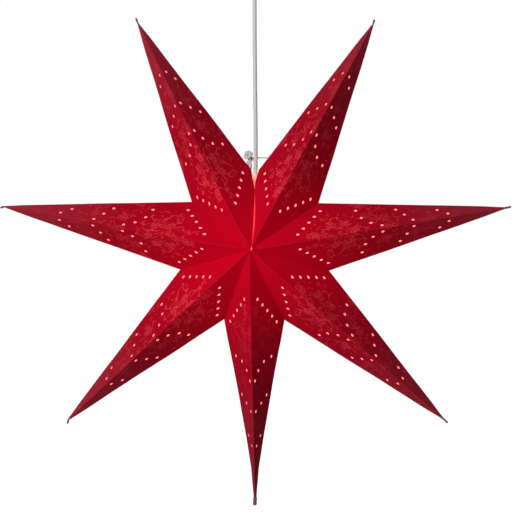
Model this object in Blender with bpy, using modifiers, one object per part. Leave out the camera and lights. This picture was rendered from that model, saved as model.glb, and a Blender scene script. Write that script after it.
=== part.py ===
"""A folded paper star lantern with seven points, lit inside and hung on its cord.

Lengths are in metres, +Z is up and the lantern's front looks toward -Y. The origin
is the middle of the ceiling bracket's top face, where the bracket meets the ceiling.
"""

import math

import bmesh
import bpy
from mathutils import Matrix, Vector

# General clearances and mesh settings
GAP = 0.0003                    # between two pieces that touch on the real lantern
RUNNING_GAP = 0.0005            # round a piece that turns or slides in another
OVERRUN = 0.001                 # how far a cutter passes through a wall
MERGE_DISTANCE = 0.00005
ROUND_SIDES = 24
SMALL_SIDES = 12
SMOOTH_ANGLE = math.radians(35)

# The star: paper, overall sizes and the directions of its folds
STAR_DROP = 0.440               # ceiling to the star's centre
TIP_RADIUS = 0.370              # centre to where the folds of a point meet
NOTCH_RADIUS = 0.1138           # centre to the notch between two points
STAR_DEPTH = 0.214              # front pole to back pole
PAPER = 0.00035
POINT_NAMES = ("upper_left", "left", "lower_left", "bottom", "lower_right", "right", "upper_right")
# Degrees from +X, turning from +X to +Z. The fan starts and ends at the open seam.
NOTCH_DIRECTIONS = (92.6, 144.0, 196.4, 246.9, 292.6, 343.1, 395.0, 446.8)
TIP_DIRECTIONS = (117.6, 170.7, 222.4, 270.0, 318.2, 369.3, 422.0)

# The seam at the top, closed near the poles and spread at the notch for the cord
SEAM_GAP = 0.0012
SEAM_CLOSED_RADIUS = 0.085
POLE_HOLE_RADIUS = 0.0022

# Punched holes, as shares of the panel's ridge and of its valley fold, from the pole
HOLE_DIAMETER = 0.004
HOLE_SIDES = 5
HOLE_PLACE_SHARES = (
    (0.129, 0.215), (0.113, 0.355), (0.097, 0.495), (0.082, 0.632), (0.069, 0.763),
    (0.250, 0.605), (0.332, 0.377), (0.416, 0.200), (0.488, 0.090),
    (0.448, 0.449), (0.529, 0.270), (0.610, 0.090),
    (0.667, 0.239), (0.745, 0.101),
)

# The pinched paper tab at the end of each point
TAB_LENGTH = 0.0090
TAB_RADIUS = 0.0013
TIP_TRIM = 0.007                # how far back from the folds' end the tab starts
TAB_STEPS = 5
TAB_STRAIGHT_SHARE = 0.4        # of the tab's length, before it starts to bend
# Where each tab ends: past the folds' end, sideways and forward, as shares of its length
TAB_END_SHARES = (
    (0.96, -0.12, 0.10), (0.48, 0.26, 0.55), (0.30, 0.40, 0.55), (0.31, 0.00, 0.75), (1.00, 0.00, 0.10),
    (0.96, 0.06, 0.10), (0.77, 0.16, 0.30),
)

# String at the notch and thread at the poles
STRING_RADIUS = 0.0010
TIE_HEIGHT = 0.131              # star's centre to the string between the two upper points
KNOT_RADIUS = 0.0016            # the string lies double in the knot
KNOT_WIDTH = 0.0115
KNOT_HEIGHT = 0.0205
KNOT_DEPTH = 0.0080
# The knot's line: across, forward to back and up, as shares of its width, depth and height
KNOT_SHARES = (
    (0.42, 0.45, -0.50), (0.22, 0.45, -0.25), (0.00, 0.45, 0.00), (-0.33, 0.35, 0.21),
    (-0.39, 0.14, 0.40), (0.00, 0.00, 0.46), (0.36, -0.07, 0.31), (0.17, -0.10, 0.12),
    (-0.28, -0.05, 0.02), (-0.59, 0.40, 0.11), (-0.30, 0.90, 0.03), (0.30, 1.00, -0.08),
)
TAIL_DROP = 0.014               # how far the string's tail hangs behind the cord
POLE_THREAD_RADIUS = 0.0006
POLE_TIE_REACH = 0.0045
# The stitch over a pole: up as a share of its reach, fall and lift as shares of their own
POLE_TIE_SHARES = ((-1.0, 1.0, 1.0), (-0.5, 0.5, 1.3), (0.0, 0.0, 1.2), (0.5, 0.5, 1.8), (1.0, 1.0, 1.6))

# The cord
CORD_RADIUS = 0.0029
CORD_POINTS = 12
CORD_BEND_GAP = 0.0032          # pivot to the end of each stiff length of cord

# The ceiling fitting
BRACKET_LENGTH = 0.078
BRACKET_WIDTH = 0.016
BRACKET_THICKNESS = 0.002
BRACKET_EAR = 0.014
SLOT_SPACING = 0.050
SLOT_LENGTH = 0.012
SLOT_WIDTH = 0.0045
EAR_HOLE_RADIUS = 0.0017
CUP_WALL = 0.0018
CUP_HEIGHT = 0.050
CUP_CORNER = 0.016
CUP_CEILING_GAP = 0.0005
GRIP_FLANGE_RADIUS = 0.0095
GRIP_FLANGE_HEIGHT = 0.0035
GRIP_NECK_RADIUS = 0.0065
GRIP_NECK_HEIGHT = 0.0185
GRIP_INNER_LENGTH = 0.006
GRIP_WALL = 0.0015              # at the tapered neck's lower end
TERMINAL_LENGTH = 0.022
TERMINAL_WIDTH = 0.016
TERMINAL_HEIGHT = 0.013
TERMINAL_BEVEL = 0.0012
TERMINAL_SCREW_RADIUS = 0.0021
TERMINAL_SCREW_DEPTH = 0.003
TERMINAL_SCREW_SPACING = 0.010

# The lampholder
HOLDER_TOP = 0.078              # star's centre to the top of the lampholder
HOLDER_RADIUS = 0.0145
HOLDER_WALL = 0.0018
HOLDER_CAP_HEIGHT = 0.018
HOLDER_NIPPLE_RADIUS = 0.0055
HOLDER_NIPPLE_HEIGHT = 0.007
HOLDER_BODY_HEIGHT = 0.036
HOLDER_RIB_RADIUS = 0.0157
HOLDER_RIB_HEIGHT = 0.004
CORD_IN_CAP = 0.012             # how far the cord reaches into the lampholder
INSERT_TOP_DROP = 0.017
INSERT_HEIGHT = 0.032
SHELL_WALL = 0.0006
SHELL_LENGTH = 0.022
SPRING_THICKNESS = 0.0011
SPRING_RADIUS = 0.0024

# The lamp
LAMP_CAP_RADIUS = 0.0069
LAMP_CAP_LENGTH = 0.0215
LAMP_CAP_SHOULDER = 0.003
LAMP_TIP_RADIUS = 0.0022
LAMP_TIP_HEIGHT = 0.0012
LAMP_NECK_RADIUS = 0.0090
LAMP_HOUSING_RADIUS = 0.0190
LAMP_HOUSING_HEIGHT = 0.019
GLOBE_RADIUS = 0.0225
GLOBE_WALL = 0.0012
GLOBE_MOUTH_RADIUS = 0.0175
GLOBE_RINGS = 8
BOARD_RADIUS = 0.0150
BOARD_THICKNESS = 0.0016

# Sizes worked out from the ones above
POLE_DEPTH = STAR_DEPTH / 2
TIP_CUT_RADIUS = TIP_RADIUS - TIP_TRIM
BRACKET_UNDERSIDE = -BRACKET_THICKNESS
CUP_BOTTOM = -CUP_HEIGHT
GRIP_FLANGE_TOP = CUP_BOTTOM - GAP
GRIP_BOTTOM = GRIP_FLANGE_TOP - GRIP_FLANGE_HEIGHT - GRIP_NECK_HEIGHT
PIVOT_HEIGHT = GRIP_BOTTOM - GAP
CORD_BORE = CORD_RADIUS + RUNNING_GAP
CUP_RADIUS = BRACKET_LENGTH / 2 + GAP + CUP_WALL
INSERT_TOP = HOLDER_TOP - INSERT_TOP_DROP
INSERT_RADIUS = HOLDER_RADIUS - HOLDER_WALL - GAP
SHELL_INNER = LAMP_CAP_RADIUS + RUNNING_GAP
SHELL_OUTER = SHELL_INNER + SHELL_WALL
SHELL_BORE = SHELL_OUTER + GAP
LAMP_TIP_TOP = INSERT_TOP - INSERT_HEIGHT + SHELL_LENGTH
LAMP_CAP_TOP = LAMP_TIP_TOP - LAMP_TIP_HEIGHT - GAP
LAMP_CAP_BOTTOM = LAMP_CAP_TOP - LAMP_CAP_LENGTH
HOUSING_TOP = LAMP_CAP_BOTTOM - GAP
HOUSING_BOTTOM = HOUSING_TOP - LAMP_HOUSING_HEIGHT
GLOBE_CENTRE = HOUSING_BOTTOM - GAP - math.sqrt(GLOBE_RADIUS ** 2 - GLOBE_MOUTH_RADIUS ** 2)


def clear_scene():
    for thing in list(bpy.data.objects):
        bpy.data.objects.remove(thing)


def new_collection(name):
    group = bpy.data.collections.new(name)
    bpy.context.scene.collection.children.link(group)
    return group


def new_material(name, colour, roughness, metallic=0.0):
    material = bpy.data.materials.new(name)
    material.use_nodes = True
    shader = material.node_tree.nodes["Principled BSDF"]
    shader.inputs["Base Color"].default_value = (*colour, 1.0)
    shader.inputs["Roughness"].default_value = roughness
    shader.inputs["Metallic"].default_value = metallic
    material.diffuse_color = (*colour, 1.0)
    return material


def add_object(name, data, group, material=None, parent=None, place=(0, 0, 0)):
    thing = bpy.data.objects.new(name, data)
    group.objects.link(thing)
    thing.parent = parent
    thing.location = place
    if material:
        data.materials.append(material)
    return thing


def add_empty(name, group, place, parent=None):
    empty = add_object(name, None, group, parent=parent, place=place)
    empty.empty_display_size = STAR_DEPTH / 4
    return empty


def round_shading(mesh):
    mesh.shade_smooth()
    mesh.set_sharp_from_angle(angle=SMOOTH_ANGLE)


def turned(name, profile, group, material, parent, closed=False, sides=ROUND_SIDES):
    """Turn an outline of (radius, height) pairs about Z. It runs down its outer side."""
    mesh = bpy.data.meshes.new(name)
    count = len(profile)
    edges = [(i, i + 1) for i in range(count - 1)]
    if closed:
        edges.append((count - 1, 0))
    mesh.from_pydata([(radius, 0, height) for radius, height in profile], edges, [])
    thing = add_object(name, mesh, group, material, parent)
    screw = thing.modifiers.new("Turn", "SCREW")
    screw.steps = screw.render_steps = sides
    screw.use_merge_vertices = True
    screw.merge_threshold = MERGE_DISTANCE
    screw.use_smooth_shade = True
    return thing


def tube(name, points, radius, group, material, parent, resolution=2):
    """A round tube with closed ends along a list of points."""
    curve = bpy.data.curves.new(name, "CURVE")
    curve.dimensions = "3D"
    curve.bevel_depth = radius
    curve.bevel_resolution = resolution
    curve.use_fill_caps = True
    spline = curve.splines.new("POLY")
    spline.points.add(len(points) - 1)
    for spot, point in zip(spline.points, points):
        spot.co = (*point, 1.0)
    return add_object(name, curve, group, material, parent)


def smooth_route(points, steps):
    """Points along a smooth curve through the given ones, some steps to each stretch."""
    route = []
    ends = [points[0], *points, points[-1]]
    for before, start, end, after in zip(ends, ends[1:], ends[2:], ends[3:]):
        before, start, end, after = map(Vector, (before, start, end, after))
        for step in range(steps):
            t = step / steps
            route.append(0.5 * (2 * start + (end - before) * t
                                + (2 * before - 5 * start + 4 * end - after) * t ** 2
                                + (3 * start - before - 3 * end + after) * t ** 3))
    route.append(Vector(points[-1]))
    return route


def least_self_gap(points, radius, apart):
    """The least gap between stretches of a tube that lie further apart along it than that."""
    gap = math.inf
    lengths = [0.0]
    for first, second in zip(points, points[1:]):
        lengths.append(lengths[-1] + (Vector(second) - Vector(first)).length)
    for i, first in enumerate(points):
        for j in range(i + 1, len(points)):
            if lengths[j] - lengths[i] > apart:
                gap = min(gap, (Vector(first) - Vector(points[j])).length - 2 * radius)
    return gap


def flat_piece(name, outlines, thickness, group, material, parent, matrix):
    """A flat sheet from closed outlines, the first outside and the rest holes in it."""
    curve = bpy.data.curves.new(name, "CURVE")
    curve.dimensions = "2D"
    curve.fill_mode = "BOTH"
    curve.extrude = thickness / 2
    for outline in outlines:
        spline = curve.splines.new("POLY")
        spline.points.add(len(outline) - 1)
        spline.use_cyclic_u = True
        for spot, (x, y) in zip(spline.points, outline):
            spot.co = (x, y, 0, 1)
    thing = add_object(name, curve, group, material, parent)
    thing.matrix_local = matrix
    weld = thing.modifiers.new("Join caps", "WELD")
    weld.merge_threshold = MERGE_DISTANCE
    return thing


def box(name, size, place, bevel, group, material, parent=None):
    mesh = bpy.data.meshes.new(name)
    shape = bmesh.new()
    bmesh.ops.create_cube(shape, size=1)
    bmesh.ops.scale(shape, vec=size, verts=shape.verts)
    shape.to_mesh(mesh)
    shape.free()
    thing = add_object(name, mesh, group, material, parent, place)
    if bevel:
        edge = thing.modifiers.new("Soft edges", "BEVEL")
        edge.width = bevel
        edge.segments = 2
    return thing


def cylinder_cutter(name, radius, length, matrix, group, sides=SMALL_SIDES, stretch=0.0):
    """A round cutter along its own Z, or one with a slot's outline, stretched along X."""
    mesh = bpy.data.meshes.new(name)
    shape = bmesh.new()
    bmesh.ops.create_cone(shape, cap_ends=True, segments=sides, radius1=radius, radius2=radius, depth=length)
    for vertex in shape.verts:
        vertex.co.x += math.copysign(stretch / 2, vertex.co.x)
    shape.to_mesh(mesh)
    shape.free()
    cutter = add_object(name, mesh, group)
    cutter.matrix_local = matrix
    cutter.hide_render = True
    cutter.display_type = "WIRE"
    return cutter


def cut(thing, cutter):
    boolean = thing.modifiers.new("Cut " + cutter.name, "BOOLEAN")
    boolean.operation = "DIFFERENCE"
    boolean.solver = "EXACT"
    boolean.object = cutter


def direction(degrees):
    angle = math.radians(degrees)
    return Vector((math.cos(angle), 0, math.sin(angle)))


def edge_margin(normal, mirror_normal, gap):
    """How far a sheet stops short of a fold, so that it clears the sheet beyond the fold."""
    half_angle = math.acos(min(1.0, abs(normal.dot(mirror_normal))))
    return PAPER / 2 / math.tan(half_angle) + gap / 2 / math.sin(half_angle)


def line_crossing(start_a, along_a, start_b, along_b):
    """Where two lines in a plane cross."""
    cross = along_a.x * along_b.y - along_a.y * along_b.x
    offset = start_b - start_a
    return start_a + along_a * ((offset.x * along_b.y - offset.y * along_b.x) / cross)


def inward_line(start, end, inside, margin):
    """A side of an outline, moved inward by the margin: (a point, its direction)."""
    along = (end - start).normalized()
    square = Vector((-along.y, along.x))
    if square.dot(inside - start) < 0:
        square = -square
    return start + square * margin, along


def panel_plane(pole, tip, notch):
    """The panel's own frame: its origin at the pole and X along the ridge fold."""
    along = (tip - pole).normalized()
    normal = along.cross(notch - pole).normalized()
    across = normal.cross(along)
    return Matrix((along, across, normal)).transposed().to_4x4(), normal


def panel(name, pole, tip, notch, seam_side, group, material, parent):
    """One flat face of a point, between its ridge fold, its valley fold and its side fold."""
    turn, normal = panel_plane(pole, tip, notch)
    depth_axis = Vector((0, 1, 0))
    ridge_mirror = depth_axis.cross(tip).normalized()
    valley_mirror = depth_axis.cross(notch).normalized()
    flat = turn.transposed().to_3x3()

    def to_plane(place):
        return (flat @ (place - pole)).to_2d()

    pole_2d, tip_2d, notch_2d = to_plane(pole), to_plane(tip), to_plane(notch)
    middle = (pole_2d + tip_2d + notch_2d) / 3

    ridge = inward_line(pole_2d, tip_2d, middle, edge_margin(normal, ridge_mirror, GAP))
    side = inward_line(tip_2d, notch_2d, middle, edge_margin(normal, depth_axis, GAP))
    valley = inward_line(pole_2d, notch_2d, middle, edge_margin(normal, valley_mirror, GAP))
    outward = tip.normalized()
    notch_reach = notch.dot(outward)
    cut_start = pole_2d.lerp(tip_2d, TIP_CUT_RADIUS / TIP_RADIUS)
    cut_end = notch_2d.lerp(tip_2d, (TIP_CUT_RADIUS - notch_reach) / (TIP_RADIUS - notch_reach))
    end_cut = (cut_start, cut_end - cut_start)
    side_notch = line_crossing(*valley, *side)
    valley_start = line_crossing(*valley, *ridge)
    pole_on_valley = valley_start + valley[1] * POLE_HOLE_RADIUS
    pole_on_ridge = valley_start + ridge[1] * POLE_HOLE_RADIUS

    outline = [pole_on_ridge, line_crossing(*ridge, *end_cut), line_crossing(*side, *end_cut), side_notch]
    if seam_side:
        outline += seam_edge(pole, tip, notch, to_plane)
    else:
        outline.append(pole_on_valley)
    holes = [hole_outline(tip_2d * along + notch_2d * across) for along, across in HOLE_PLACE_SHARES]
    return flat_piece(name, [outline, *holes], PAPER, group, material, parent,
                      Matrix.Translation(pole) @ turn)


def seam_edge(pole, tip, notch, to_plane):
    """The two corners of a panel's edge at the seam: closed there, spread at the notch."""
    middle_direction = direction((NOTCH_DIRECTIONS[0] + NOTCH_DIRECTIONS[-1] - 360) / 2 + 360)
    sideways = Vector((middle_direction.z, 0, -middle_direction.x))
    if sideways.dot(tip) < 0:
        sideways = -sideways
    corners = []
    for radius in (SEAM_CLOSED_RADIUS, 2 * POLE_HOLE_RADIUS):
        place = middle_direction * radius + sideways * (SEAM_GAP / 2)
        corners.append(to_plane(on_panel(place, pole, tip, notch)))
    return corners


def on_panel(place, pole, tip, notch):
    """The point of a panel's plane that lies straight before or behind a place."""
    normal = (tip - pole).cross(notch - pole)
    depth = pole.y - (normal.x * (place.x - pole.x) + normal.z * (place.z - pole.z)) / normal.y
    return Vector((place.x, depth, place.z))


def hole_outline(centre):
    turn = 2 * math.pi / HOLE_SIDES
    return [centre + Vector((math.cos(i * turn), math.sin(i * turn))) * (HOLE_DIAMETER / 2)
            for i in range(HOLE_SIDES)]


def star_panels(group, paper, parent):
    """Four flat faces for each point, front and back, on both sides of its ridge."""
    last = len(POINT_NAMES) - 1
    for i, point in enumerate(POINT_NAMES):
        tip = direction(TIP_DIRECTIONS[i]) * TIP_RADIUS
        for half, (notch_degrees, at_seam) in {
            "first": (NOTCH_DIRECTIONS[i], i == 0),
            "second": (NOTCH_DIRECTIONS[i + 1], i == last),
        }.items():
            notch = direction(notch_degrees) * NOTCH_RADIUS
            for face, side in (("front", -1), ("back", 1)):
                pole = Vector((0, side * POLE_DEPTH, 0))
                panel(f"panel_{point}_{face}_{half}", pole, tip, notch, at_seam, group, paper, parent)


def tip_tabs(group, paper, parent):
    """The pinched and bent ends of the paper at the seven tips."""
    for point, degrees, end_shares in zip(POINT_NAMES, TIP_DIRECTIONS, TAB_END_SHARES):
        past_share, sideways_share, forward_share = end_shares
        outward = direction(degrees)
        sideways = Vector((-outward.z, 0, outward.x))
        start = outward * (TIP_CUT_RADIUS + GAP)
        reach = TIP_TRIM - GAP + TAB_LENGTH * past_share
        points = []
        for step in range(TAB_STEPS + 1):
            share = step / TAB_STEPS
            bend = (max(0.0, share - TAB_STRAIGHT_SHARE) / (1 - TAB_STRAIGHT_SHARE)) ** 2 * TAB_LENGTH
            points.append(start + outward * reach * share + sideways * bend * sideways_share
                          + Vector((0, -bend * forward_share, 0)))
        tube(f"tip_tab_{point}", points, TAB_RADIUS, group, paper, parent, resolution=1)


def neck_string(group, thread, parent):
    """String from the right point's edge, behind the cord and on to the knot."""
    right = side_edge_place(len(POINT_NAMES) - 1, NOTCH_DIRECTIONS[-1], TIE_HEIGHT)
    behind = CORD_RADIUS + GAP + STRING_RADIUS
    knot_side = knot_middle().x + KNOT_RADIUS + STRING_RADIUS
    route = smooth_route([
        (right.x - STRING_RADIUS, behind / 3, TIE_HEIGHT), (right.x / 2, behind * 0.8, TIE_HEIGHT),
        (0, behind, TIE_HEIGHT), (knot_side / 2, behind * 0.9, TIE_HEIGHT),
        (knot_side, KNOT_SHARES[2][1] * KNOT_DEPTH, TIE_HEIGHT),
    ], 2)
    tube("neck_string", route, STRING_RADIUS, group, thread, parent, resolution=1)


def side_edge_place(index, notch_degrees, height):
    """The place on a point's side fold at some height above the star's centre."""
    tip = direction(TIP_DIRECTIONS[index]) * TIP_RADIUS
    notch = direction(notch_degrees) * NOTCH_RADIUS
    return notch.lerp(tip, (height - notch.z) / (tip.z - notch.z))


def knot_middle():
    """The knot sits against the side fold of the point left of the cord."""
    left = side_edge_place(0, NOTCH_DIRECTIONS[0], TIE_HEIGHT)
    reach = max(-across for across, _, _ in KNOT_SHARES) * KNOT_WIDTH
    return Vector((left.x + reach + KNOT_RADIUS + GAP, 0, TIE_HEIGHT))


def neck_knot(group, thread, parent):
    """The knot left of the cord, one unbroken string: a tail, two loops and a tail behind the cord."""
    middle = knot_middle()
    points = [middle + Vector((x * KNOT_WIDTH, y * KNOT_DEPTH, z * KNOT_HEIGHT)) for x, y, z in KNOT_SHARES]
    behind = CORD_RADIUS + GAP + KNOT_RADIUS
    turn_height = points[-1].z - KNOT_RADIUS
    points += [Vector((0, 1.2 * behind, turn_height)), Vector((CORD_RADIUS * 0.8, behind, turn_height - TAIL_DROP / 3)),
               Vector((CORD_RADIUS * 0.8, behind, turn_height - TAIL_DROP))]
    route = smooth_route(points, 2)
    gap = least_self_gap(route, KNOT_RADIUS, KNOT_HEIGHT / 2)
    print(f"neck knot least gap to itself {gap * 1000:.2f} mm")
    tube("neck_knot", route, KNOT_RADIUS, group, thread, parent, resolution=1)


def pole_ties(group, thread, parent):
    """A stitch of thread over each pole, which holds the corners of the paper together."""
    lift = PAPER / 2 + POLE_THREAD_RADIUS + GAP
    for face, side in (("front", -1), ("back", 1)):
        points = []
        for up_share, fall_share, lift_share in POLE_TIE_SHARES:
            slope = POLE_DEPTH / (TIP_RADIUS if up_share < 0 else NOTCH_RADIUS)
            depth = POLE_DEPTH - slope * POLE_TIE_REACH * fall_share + lift * lift_share
            points.append((0, side * depth, up_share * POLE_TIE_REACH))
        tube(f"pole_tie_{face}", points, POLE_THREAD_RADIUS, group, thread, parent, resolution=1)


def ceiling_bracket(group, cutters, steel):
    """A strap with two ears bent down, slotted for the ceiling screws."""
    half = BRACKET_LENGTH / 2
    wall = BRACKET_THICKNESS
    outline = [(-half, 0), (half, 0), (half, -BRACKET_EAR), (half - wall, -BRACKET_EAR),
               (half - wall, -wall), (-half + wall, -wall), (-half + wall, -BRACKET_EAR), (-half, -BRACKET_EAR)]
    upright = Matrix.Rotation(math.pi / 2, 4, "X")
    strap = flat_piece("ceiling_bracket", [outline], BRACKET_WIDTH, group, steel, None, upright)
    strap = curve_to_mesh(strap, group)
    for side in (-1, 1):
        slot = cylinder_cutter(
            f"slot_cutter_{side + 2}", SLOT_WIDTH / 2, wall + 2 * OVERRUN,
            Matrix.Translation((side * SLOT_SPACING / 2, 0, -wall / 2)), cutters,
            stretch=SLOT_LENGTH - SLOT_WIDTH)
        cut(strap, slot)
    ear_holes = cylinder_cutter(
        "ear_hole_cutter", EAR_HOLE_RADIUS, BRACKET_LENGTH + 2 * OVERRUN,
        Matrix.Translation((0, 0, -BRACKET_EAR / 2 - wall)) @ Matrix.Rotation(math.pi / 2, 4, "Y"), cutters)
    cut(strap, ear_holes)


def curve_to_mesh(thing, group):
    """A mesh object in place of a curve object, with its caps joined."""
    graph = bpy.context.evaluated_depsgraph_get()
    mesh = bpy.data.meshes.new_from_object(thing.evaluated_get(graph))
    shape = bmesh.new()
    shape.from_mesh(mesh)
    bmesh.ops.remove_doubles(shape, verts=shape.verts, dist=MERGE_DISTANCE)
    shape.to_mesh(mesh)
    shape.free()
    name, place, parent = thing.name, thing.matrix_world.copy(), thing.parent
    bpy.data.objects.remove(thing)
    solid = add_object(name, mesh, group, parent=parent)
    solid.matrix_world = place
    return solid


def ceiling_cup(group, cutters, plastic):
    """The cup that covers the bracket, with a hole below for the cord grip."""
    bore = GRIP_NECK_RADIUS + GAP
    outer, inner = CUP_RADIUS + CUP_WALL, CUP_RADIUS
    floor = CUP_BOTTOM + CUP_WALL
    profile = [(inner, -CUP_CEILING_GAP), (outer, -CUP_CEILING_GAP)]
    for step in range(4):
        angle = math.pi / 2 * step / 3
        profile.append((outer - CUP_CORNER * (1 - math.cos(angle)), CUP_BOTTOM + CUP_CORNER * (1 - math.sin(angle))))
    profile += [(bore, CUP_BOTTOM), (bore, floor)]
    inner_corner = CUP_CORNER - CUP_WALL
    for step in range(4):
        angle = math.pi / 2 * (3 - step) / 3
        profile.append((inner - inner_corner * (1 - math.cos(angle)), floor + inner_corner * (1 - math.sin(angle))))
    cup = turned("ceiling_cup", profile, group, plastic, None, closed=True)
    screw_holes = cylinder_cutter(
        "cup_hole_cutter", EAR_HOLE_RADIUS, 2 * outer + 2 * OVERRUN,
        Matrix.Translation((0, 0, -BRACKET_EAR / 2 - BRACKET_THICKNESS)) @ Matrix.Rotation(math.pi / 2, 4, "Y"),
        cutters)
    cut(cup, screw_holes)


def cord_grip(group, plastic):
    """The bush in the cup's hole that grips the cord, with a flared mouth below."""
    flange_low = GRIP_FLANGE_TOP - GRIP_FLANGE_HEIGHT
    inner_top = CUP_BOTTOM + CUP_WALL + GRIP_INNER_LENGTH
    neck = GRIP_NECK_RADIUS
    mouth = CORD_BORE + GRIP_WALL / 3
    profile = [
        (CORD_BORE, inner_top), (neck - GAP, inner_top), (neck - GAP, GRIP_FLANGE_TOP),
        (GRIP_FLANGE_RADIUS, GRIP_FLANGE_TOP), (GRIP_FLANGE_RADIUS, flange_low),
        (neck, flange_low - GRIP_NECK_HEIGHT / 4), (CORD_BORE + GRIP_WALL, GRIP_BOTTOM),
        (mouth, GRIP_BOTTOM), (CORD_BORE, GRIP_BOTTOM + GRIP_NECK_HEIGHT / 4),
    ]
    turned("cord_grip", profile, group, plastic, None, closed=True)


def terminal_block(group, cutters, plastic):
    """The connector under the bracket, with two screw wells on its front."""
    top = BRACKET_UNDERSIDE - GAP
    middle = top - TERMINAL_HEIGHT / 2
    block = box("terminal_block", (TERMINAL_LENGTH, TERMINAL_WIDTH, TERMINAL_HEIGHT), (0, 0, middle),
                TERMINAL_BEVEL, group, plastic)
    for side in (-1, 1):
        well = cylinder_cutter(
            f"well_cutter_{side + 2}", TERMINAL_SCREW_RADIUS, 2 * TERMINAL_SCREW_DEPTH,
            Matrix.Translation((side * TERMINAL_SCREW_SPACING / 2, -TERMINAL_WIDTH / 2, middle))
            @ Matrix.Rotation(math.pi / 2, 4, "X"), cutters)
        cut(block, well)


def cord_pieces(group, pvc, swing):
    """The cord: inside the cup, at the bend below the grip, and down to the lampholder."""
    top = BRACKET_UNDERSIDE - 2 * GAP - TERMINAL_HEIGHT
    lead_end = PIVOT_HEIGHT + CORD_BEND_GAP
    tube("cord_in_cup", [(0, 0, top - (top - lead_end) * i / 3) for i in range(4)], CORD_RADIUS, group, pvc, None)
    bend = bpy.data.meshes.new("cord_bend")
    shape = bmesh.new()
    bmesh.ops.create_uvsphere(shape, u_segments=SMALL_SIDES, v_segments=8, radius=CORD_RADIUS)
    shape.to_mesh(bend)
    shape.free()
    round_shading(bend)
    add_object("cord_bend", bend, group, pvc, swing)
    low = HOLDER_TOP - CORD_IN_CAP - STAR_DROP - PIVOT_HEIGHT
    long = -CORD_BEND_GAP - low
    tube("cord", [(0, 0, -CORD_BEND_GAP - long * i / (CORD_POINTS - 1)) for i in range(CORD_POINTS)],
         CORD_RADIUS, group, pvc, swing)


def lampholder(group, plastic, ceramic, brass, star):
    """The holder on the cord's end: cap, body, insert, screw shell and centre contact."""
    top, wall, outer = HOLDER_TOP, HOLDER_WALL, HOLDER_RADIUS
    shoulder = top - HOLDER_NIPPLE_HEIGHT
    cap_low = top - HOLDER_CAP_HEIGHT
    nipple = HOLDER_NIPPLE_RADIUS
    turned("holder_cap", [
        (CORD_BORE, top), (nipple - wall / 3, top), (nipple, shoulder + wall), (nipple, shoulder),
        (outer - 2 * wall, shoulder - wall), (outer, shoulder - 3 * wall), (outer, cap_low),
        (outer - wall, cap_low), (outer - wall, shoulder - 3 * wall), (outer - 3 * wall, shoulder - 2 * wall),
        (CORD_BORE, shoulder - wall),
    ], group, plastic, star, closed=True)

    body_top = cap_low - GAP
    body_low = body_top - HOLDER_BODY_HEIGHT
    rib, rib_height = HOLDER_RIB_RADIUS, HOLDER_RIB_HEIGHT
    turned("holder_body", [
        (outer - wall, body_top), (outer, body_top), (outer, body_low + 2 * rib_height),
        (rib, body_low + 1.5 * rib_height), (rib, body_low + rib_height / 2), (outer, body_low),
        (outer - wall, body_low),
    ], group, plastic, star, closed=True)

    insert_low = INSERT_TOP - INSERT_HEIGHT
    bore_top = LAMP_TIP_TOP + GAP + SPRING_THICKNESS + GAP
    radius, bore = INSERT_RADIUS, SHELL_BORE
    turned("holder_insert", [
        (0, INSERT_TOP), (radius, INSERT_TOP), (radius, insert_low), (bore, insert_low), (bore, bore_top), (0, bore_top),
    ], group, ceramic, star)

    shell_top = LAMP_TIP_TOP - LAMP_TIP_HEIGHT - GAP
    shell_low = insert_low + GAP
    turned("holder_screw_shell", [
        (SHELL_INNER, shell_top), (SHELL_OUTER, shell_top), (SHELL_OUTER, shell_low), (SHELL_INNER, shell_low),
    ], group, brass, star, closed=True)
    turned("holder_contact", [
        (0, bore_top - GAP), (SPRING_RADIUS, bore_top - GAP), (SPRING_RADIUS, bore_top - GAP - SPRING_THICKNESS),
        (0, bore_top - GAP - SPRING_THICKNESS),
    ], group, brass, star, sides=SMALL_SIDES)


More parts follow.
